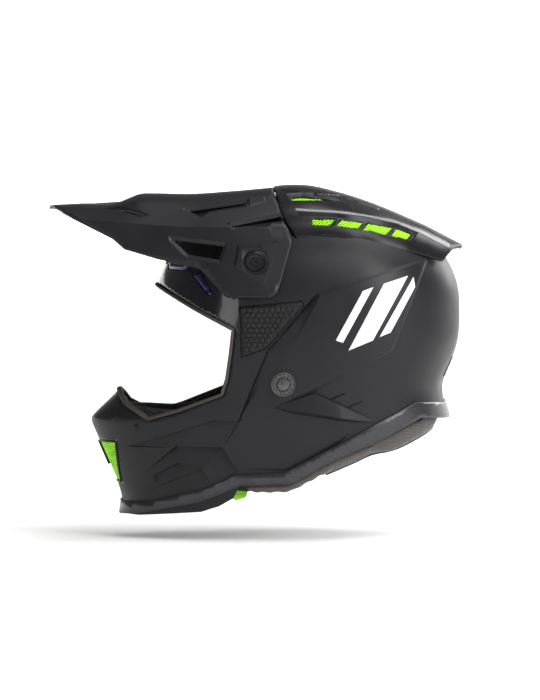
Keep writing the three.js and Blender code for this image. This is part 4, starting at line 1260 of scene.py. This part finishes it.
# Profiles, (radius, height). The side pieces' heights are from the middle plane, the rivet's and the chin
# bolt's from the shell, and the top pieces' and the snap's are the z of the frame.
SIDE_SCREW = [
    (2.9, 88), (2.9, 114.2), (8.7, 114.2), (9.1, 114.8), (9.1, 115.9), (8.4, 116.7), (7.4, 116.7),
    (6.7, 115.7), (4.2, 115.5), (3.5, 116.3), (2.0, 116.3), (1.5, 115.0), (0.05, 115.0),
]
SIDE_SPACER = [(3.4, 107.4), (3.4, 110.8), (5.6, 110.8), (6.0, 110.4), (6.0, 107.4)]
SIDE_NUT = [(3.3, 88.5), (3.3, 93), (6.0, 93), (6.5, 92.4), (6.5, 89.1), (6.0, 88.5)]
RIVET_BODY = [
    (0.05, -17.9), (5.0, -17.9), (5.2, -17.5), (5.2, -16.2), (3, -16.2), (3, 0.9), (11.0, 0.9), (11.1, 1.7),
    (10.4, 2.3), (9.8, 1.9), (9.5, 1.5), (8.7, 1.6), (7.4, 1.6), (6.7, 1.6), (6.2, 1.4), (5.8, 2.9),
    (5.3, 3.5), (3.6, 3.9), (0.05, 4.0),
]
CHIN_BOLT = [(2.6, 0.3), (2.6, 1.0), (2.1, 1.7), (1.2, 1.9), (0.9, 1.1), (0.05, 1.1)]
TOP_SCREW = [
    (2.8, 149), (2.8, 172.5), (6.6, 172.5), (7.0, 172.9), (7.0, 174.2), (6.3, 174.8), (4.4, 174.8),
    (3.6, 173.4), (0.05, 173.4),
]
TOP_SPACER = [(3.2, 160), (3.2, 164.8), (6.0, 164.8), (6.5, 164.2), (6.5, 160)]
TOP_NUT = [(3.1, 149.6), (3.1, 154), (6.0, 154), (6.5, 153.4), (6.5, 150.2), (6.0, 149.6)]
SNAP = [(0.05, -101.6), (5.4, -101.6), (6.0, -101.0), (6.0, -99.6), (5.2, -98.8), (0.05, -98.8)]
SNAP_Y = 34


def turned(
    name, centre, axis, profile, look, node_name, body="shell_body", loop=False, sides=48, wave=None
):
    """A profile turned round an axis. wave(radius, angle) adds to the height."""
    turn = np.arange(sides) * 2 * math.pi / sides
    axis = np.array(axis, float)
    first = np.array([1.0, 0, 0])
    second = np.cross(axis, first)
    circle = np.cos(turn)[:, None] * first + np.sin(turn)[:, None] * second
    rows = []
    for radius, height in profile:
        up = height + (wave(radius, turn) if wave else 0 * turn)
        rows.append(np.array(centre) + radius * circle + up[:, None] * axis)
    points, faces = rings(rows, loop)
    obj = make(name, points, facing_out(points, faces), look, sharp=25)
    return place_in_frame(obj, body, [node_name])


def knurl(inner, outer, count, depth):
    """Ribs between two radii, for turned()."""
    return lambda radius, turn: np.where(np.cos(count * turn) > 0, depth, 0.0) * (inner < radius < outer)


def screw_cups():
    """The round rims on the peak's side plates and the cups that the screw heads sit in."""
    turn = np.arange(0, 2 * math.pi, 2 * math.pi / 56)
    circle = np.stack([np.cos(turn), np.sin(turn)], axis=1)
    floor_y, under_y, bore = 112.2, 111.5, 3.5

    def ring(radius, y):
        xz = np.array(SCREW) + radius * circle
        return xyz(xz[:, 0], -y, xz[:, 1])

    def ring_on_plate(radius, lift):
        xz = np.array(SCREW) + radius * circle
        return ring(radius, lift - peak_place(peak_uv_side(xz))[:, 1])

    lip = [(1.3, -0.4), (0.9, 0.6), (0.0, 0.7), (-0.3, -0.2)]
    rows = [ring_on_plate(CUP + wider, PLATE_RISE + up) for wider, up in lip]
    rows += [ring(CUP - 0.3, floor_y), ring(bore, floor_y), ring(bore, under_y), ring(CUP + 1.0, under_y)]
    points, faces = rings(rows, True)
    pair("screw_cup", points, facing_out(points, faces), PEAK, "peak_body")


def fasteners():
    """Every screw, spacer, nut, rivet and bolt, and the strap's snap."""
    lobes, ribs = knurl(7.0, 8.6, 12, 0.12), knurl(7.0, 9.0, 14, 0.55)
    rivet_y = half_width(*RIVET) + RAISED
    for side, way in SIDES.items():
        out = (0, way, 0)
        at = (SCREW[0], 0, SCREW[1])
        turned(f"side_screw_{side}", at, out, SIDE_SCREW, BOLT, f"peak_screw_{side}",
               body="peak_body", wave=lobes)
        turned(f"side_spacer_{side}", at, out, SIDE_SPACER, RUBBER, f"peak_spacer_{side}",
               loop=True)
        turned(f"side_nut_{side}", at, out, SIDE_NUT, STEEL, f"peak_nut_{side}", loop=True, sides=6)
        at = (RIVET[0], way * rivet_y, RIVET[1])
        turned(f"rivet_{side}", at, out, RIVET_BODY, RIVET_GREY, f"strap_rivet_{side}",
               sides=84, wave=ribs)
        for tag, (x, z) in CHIN_SCREWS.items():
            at = (x, way * half_width(x, z), z)
            end = f"{tag}_{side}"
            turned(f"chin_bolt_{end}", at, out, CHIN_BOLT, BOLT, f"chin_screw_{end}", sides=24)
    at = (TOP_SCREW_X, 0, 0)
    turned("top_screw", at, ALONG_Z, TOP_SCREW, BOLT, "peak_top_screw")
    turned("top_spacer", at, ALONG_Z, TOP_SPACER, RUBBER, "peak_top_spacer", loop=True)
    turned("top_nut", at, ALONG_Z, TOP_NUT, STEEL, "peak_top_nut", loop=True, sides=6)
    at = (RIVET[0], SNAP_Y, 0)
    turned("snap", at, ALONG_Z, SNAP, BOLT, "strap_snap", body="strap_body")


def rear_grille():
    """The exhaust vent at the back, with three slits."""
    panel = shell_patch(shell_uv_end(dense(REAR_VENT, SIDE_STEP), front=False), 0.014)
    for z in (7.5, 13, 18.5):
        slit = [(0, z - 1.6), (20, z - 1.6), (19, z + 1.2), (0, z + 1.2)]
        panel.hole(shell_uv_end(dense(slit, SIDE_STEP), front=False), converted=True)
    points, faces, _ = panel.build(grow=0.7)
    obj = thicken(make("rear_grille", points, faces, PEAK), SHELL_WALL)
    place_in_frame(obj, "shell_body", ["rear_vent"])


# ---- Soft pieces ----------------------------------------------------------------------------------------


PRESSURE, CLOTH_STIFFNESS, CLOTH_FRAMES = 4.0, 12, 20


def baked(obj):
    """The object with its modifiers worked into its mesh."""
    shape = bpy.data.meshes.new_from_object(obj.evaluated_get(bpy.context.evaluated_depsgraph_get()))
    obj.modifiers.clear()
    obj.data = shape
    return obj


def from_solid(name, cad_node, voxel, shrink, look):
    """An evenly meshed copy of a CAD solid, drawn in by shrink millimetres so that it has room to swell."""
    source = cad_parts[cad_node]
    mesh = source.data.copy()
    mesh.transform(source.matrix_world)
    mesh.materials.clear()
    obj = linked(name, mesh)
    remesh = obj.modifiers.new("remesh", "REMESH")
    remesh.mode = "VOXEL"
    remesh.voxel_size = voxel * MM
    smooth = obj.modifiers.new("smooth", "SMOOTH")
    smooth.factor, smooth.iterations = 0.5, 3
    inward = obj.modifiers.new("inward", "DISPLACE")
    inward.strength, inward.mid_level = -shrink * MM, 0.0
    baked(obj)
    obj.data.materials.append(look)
    return obj


def swollen(obj, most):
    """Blows the piece up as cloth, then holds every point to within most millimetres of where it was."""
    count = len(obj.data.vertices)
    before = np.empty(count * 3)
    obj.data.vertices.foreach_get("co", before)
    cloth = obj.modifiers.new("cloth", "CLOTH")
    cloth.settings.use_pressure = True
    cloth.settings.uniform_pressure_force = PRESSURE
    cloth.settings.effector_weights.gravity = 0
    cloth.settings.tension_stiffness = CLOTH_STIFFNESS
    cloth.settings.compression_stiffness = CLOTH_STIFFNESS
    cloth.point_cache.frame_end = CLOTH_FRAMES
    for number in range(1, CLOTH_FRAMES + 1):
        bpy.context.scene.frame_set(number)
    baked(obj)
    bpy.context.scene.frame_set(1)
    after = np.empty(count * 3)
    obj.data.vertices.foreach_get("co", after)
    before, after = before.reshape(-1, 3), after.reshape(-1, 3)
    move = after - before
    size = np.maximum(np.linalg.norm(move, axis=1), 1e-9)
    after = before + move * np.minimum(1, most * MM / size)[:, None]
    obj.data.vertices.foreach_set("co", after.ravel())
    obj.data.update()


def stuffed(name, cad_node, look, body, slot, voxel=5.0, shrink=2.5, most=6.0, fill=0.6):
    """A padded piece in its CAD solid's space, swollen like a sewn cushion."""
    obj = from_solid(name, cad_node, voxel, shrink, look)
    swollen(obj, most)
    obj.data.shade_smooth()
    finer = obj.modifiers.new("finer", "SUBSURF")
    finer.levels = finer.render_levels = 1
    place_in_frame(obj, body, [cad_node])
    return obj


def on_surface(obj, points, lift=0.3):
    """Each point moved to the nearest place on the object, lift proud of it, with its normal."""
    out, normals = [], []
    for p in points:
        _, place, normal, _ = obj.closest_point_on_mesh(Vector(p) * MM)
        out.append(np.array(place) / MM + np.array(normal) * lift)
        normals.append(np.array(normal))
    return np.array(out), normals


def softened(path, closed=True, turns=3):
    """The path averaged with its neighbours a few times, so that it has no kinks."""
    for _ in range(turns):
        mean = (np.roll(path, 1, axis=0) + np.roll(path, -1, axis=0) + 2 * path) / 4
        if not closed:
            mean[0], mean[-1] = path[0], path[-1]
        path = mean
    return path


def piping(name, pad, points, closed, look, body, width):
    """A sewn cord round a pad, half sunk in its surface."""
    path, _ = on_surface(pad, points)
    points, faces = sweep(softened(path, closed, 4), oval(width, width, 10), closed)
    place_in_frame(make(name, points, faces, look, sharp=60), body)


def stitch_row(name, places, normals, length, look, body):
    """A row of short raised stitches along a line of places."""
    points, faces = [], []
    ahead = np.gradient(places, axis=0)
    for place, way, out in zip(places, ahead, normals):
        way = way / max(np.linalg.norm(way), 1e-9)
        out = np.asarray(out, float)
        out = out / np.linalg.norm(out)
        across = np.cross(way, out)
        first = len(points)
        for t, r in ((-0.5, 0.12), (-0.3, 0.34), (0.3, 0.34), (0.5, 0.12)):
            for k in range(6):
                a = k * math.pi / 3
                points.append(place + way * length * t + (across * math.cos(a) + out * math.sin(a)) * r)
        for ring_number in range(3):
            for k in range(6):
                a, b = first + ring_number * 6 + k, first + ring_number * 6 + (k + 1) % 6
                faces.append((a, b, b + 6, a + 6))
        faces += [tuple(first + k for k in range(6))[::-1], tuple(first + 18 + k for k in range(6))]
    place_in_frame(make(name, np.array(points), faces, look, sharp=60), body)


CHEEK = [
    (-76, 8), (-86, -16), (-97, -32), (-97, -78), (-86, -97), (-62, -99.5), (-50, -96), (-47, -40), (-47, 8),
]


def cheek_pads():
    """The cheek cushions with piping round them and a sewn seam, and their backing plates."""
    line = dense(inset(CHEEK, 2.5), 4.0)
    for side, way in SIDES.items():
        body = f"cheek_{side}_body"
        pad = stuffed(f"cheek_cushion_{side}", f"cheek_pad_{side}", CLOTH, body, "liner_fabric")
        edge = xyz(line[:, 0], way * 64.0, line[:, 1])
        piping(f"cheek_piping_{side}", pad, edge, True, NEON_WEB, body, 2.2)
        seam = xyz(-70.0, way * 60.0, np.arange(-8, -88, -3.4))
        places, normals = on_surface(pad, seam, 0.2)
        stitch_row(f"cheek_stitches_{side}", softened(places, False), normals, 2.2, THREAD, body)
        finish(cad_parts[f"cheek_plate_{side}"], RELIEF)


def finish(obj, look):
    """Gives a CAD node its material."""
    obj.data.materials.clear()
    obj.data.materials.append(look)


def liner():
    """The impact foam, the comfort pads inside the crown, and the neck roll with its piping."""
    for name, cad_node in (("crown_foam", "eps_crown_liner"), ("chin_foam", "eps_chin_liner")):
        foam = from_solid(name, cad_node, 3.0, 0.3, FOAM)
        foam.data.shade_smooth()
        place_in_frame(foam, "shell_body", [cad_node])
    thin = {"voxel": 3.2, "shrink": 0.8, "most": 2.0, "fill": 0.4}
    for place in ("brow", "crown", "nape"):
        stuffed(f"{place}_cushion", f"{place}_pad", CLOTH, "shell_body", "liner_fabric", **thin)
    thick = {"voxel": 4.5, "shrink": 1.6, "most": 4.0}
    roll = stuffed("neck_cushion", "neck_roll", TAUPE, "shell_body", "liner_fabric", **thick)
    low = dense([(10, -84.5), (54, -62), (72, -60), (100, -46), (112, -42)], 4.0, closed=False)
    left = xyz(low[:, 0], -half_width(low[:, 0], low[:, 1], -14), low[:, 1])
    piping("neck_piping", roll, there_and_back(left), False, CLOTH, "shell_body", 2.4)


def edge_rolls():
    """The soft padded edging under the shell's lower rim, from the cheek pads back to the neck roll."""
    rim_line = [(-62, -97.6), (-24, -96.6), (19, -73.4), (54, -58.6)]
    line = softened(dense(rim_line, 2.5, closed=False), False, 4)
    sides, number = 14, np.arange(len(line))
    swell = 1 - 0.12 * np.cos(number * 1.1)
    taper = np.minimum(1, (np.minimum(number, number[::-1]) + 1.5) / 5)
    path = xyz(line[:, 0], 4.0 - half_width(line[:, 0], line[:, 1]), line[:, 1])
    points, faces = sweep(path, oval(7.4, 6.6, sides), False, lambda q: np.array([0, -1.0, 0]))
    centre = np.repeat(path, sides, axis=0)
    points = centre + (points - centre) * np.repeat(swell * taper, sides)[:, None]
    for side, p, f in left_and_right(points, facing_out(points, faces)):
        roll = make(f"edge_roll_{side}", p, f, TAUPE, sharp=60)
        place_in_frame(roll, "shell_body", [])


# ---- Chin strap -----------------------------------------------------------------------------------------

STRAP_X, STRAP_WIDTH, STRAP_THICKNESS = RIVET[0], 21.0, 2.2
HANGING = [(107.6, 10), (106.8, -12), (102.2, -33), (92, -58), (73, -78), (52, -86.2)]
TAIL = [
    (20, -88.3), (-6, -88.3), (-22, -88.6), (-28.5, -90.4), (-30.4, -93.4), (-28, -96.4), (-16, -97.4),
    (28, -97), (40, -95.4),
]
EYE = [
    (-46, -87.4), (-42.4, -85.2), (-38.2, -86.2), (-37.6, -88.2), (-38.4, -90.6), (-42.4, -91.6),
    (-46.4, -89.8), (-53, -88.4),
]
STITCHED = slice(12, 62)  # the stretch of the webbing's middle line that has stitches beside it
RING_BARS = {"inner": (-85.9, -83.6), "outer": (-90.1, -93)}
RING_Y, RING_FAR_Y = -42.0, -16.0
RING_LENGTH = RING_FAR_Y - RING_Y
RING_PLAN = [
    (-14.5, 0), (14.5, 0), (15.5, 1.5), (15.5, 18), (10.5, 26), (-10.5, 26), (-15.5, 18), (-15.5, 1.5),
]
PULL_TAB = [(-74.6, -97.6), (-63.0, -96.6), (-62.4, -103.4), (-64.4, -106.4), (-73.8, -109.2), (-75.6, -107)]


def ribbon(points):
    """Webbing along (y, z) points: (mesh points, faces, middle line, its outward normals)."""
    path = softened(dense([np.array(p, float) for p in points], 2.0, closed=False), False, 4)
    ahead = np.gradient(path, axis=0)
    ahead /= np.linalg.norm(ahead, axis=1)[:, None]
    normal = np.stack([-ahead[:, 1], ahead[:, 0]], axis=1)
    half, thick = STRAP_WIDTH / 2, STRAP_THICKNESS / 2
    section = [(-half, 0), (-half + 0.5, thick), (-half + 2.4, thick), (-half + 2.8, thick * 0.72)]
    section += [(-x, t) for x, t in section[::-1]]
    section += [(x, -t) for x, t in section[1:-1]][::-1]
    rows = []
    for (y, z), (ny, nz) in zip(path, normal):
        rows.append(np.array([(STRAP_X + x, y + t * ny, z + t * nz) for x, t in section]))
    points, faces = rings(rows, False)
    middle = xyz(STRAP_X, path[:, 0], path[:, 1])
    return points, facing_out(points, faces), middle, xyz(0, normal[:, 0], normal[:, 1])


def chin_strap():
    """Both halves of the strap, with a row of stitches along each edge."""
    left = [(-y, z) for y, z in HANGING]
    for side, route in (("left", [*left, *EYE]), ("right", [*HANGING, *TAIL])):
        points, faces, middle, out = ribbon(route)
        strap = make(f"strap_{side}", points, faces, WEB, sharp=40)
        place_in_frame(strap, "strap_body", [f"chin_strap_{side}"])
        for edge, way in (("front", -1), ("rear", 1)):
            aside = np.array([way * (STRAP_WIDTH / 2 - 3.4), 0, 0])
            places, normals = middle[STITCHED] + aside + out[STITCHED], out[STITCHED]
            stitch_row(f"strap_stitches_{side}_{edge}", places, normals, 1.5, THREAD, "strap_body")


def strap_rings():
    """The two wire rings that the strap's tail threads through."""
    line = softened(dense(RING_PLAN, 1.5), True, 3)
    far = line[:, 1] / RING_LENGTH
    for tag, (z, far_z) in RING_BARS.items():
        path = xyz(STRAP_X + line[:, 0], RING_Y + far * RING_LENGTH, z + far * (far_z - z))
        points, faces = sweep(path, oval(3.2, 3.2, 14), True, lambda q: np.array([0, 0, 1.0]))
        ring = make(f"ring_{tag}", points, facing_out(points, faces), STEEL, sharp=60)
        place_in_frame(ring, "strap_body", [f"d_ring_{tag}"])


def pull_tabs():
    """The webbing tab of each cheek pad, its faces rounded off, with a row of stitches."""
    outline = dense(PULL_TAB, 1.2)
    for side, way in SIDES.items():
        finish(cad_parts[f"strap_hanger_{side}"], STEEL)
        rows = []
        for d, y in ((1.0, 79.5), (0.25, 79.5), (0, 79.9), (0, 81.5), (0.25, 81.9), (1.0, 81.9)):
            flat = inset(outline, d)
            rows.append(xyz(flat[:, 0], way * y, flat[:, 1]))
        points, faces = rings(rows, False)
        pull = make(f"pull_tab_{side}", points, facing_out(points, faces), NEON_WEB, sharp=50)
        place_in_frame(pull, f"cheek_{side}_body", [f"release_tab_{side}"])
        places = xyz(np.arange(-73.4, -64, 1.9), way * 82.0, -103.6)
        normals = [np.array([0, way, 0])] * len(places)
        stitch_row(f"tab_stitches_{side}", places, normals, 1.2, THREAD, f"cheek_{side}_body")


peak()
roof()
roof_lips()
vent_nets()
relief_inserts()
tinted_inserts()
fins()
marks()
mouth_frame()
screw_cups()
fasteners()
rear_grille()
liner()
edge_rolls()
cheek_pads()
chin_strap()
strap_rings()
pull_tabs()
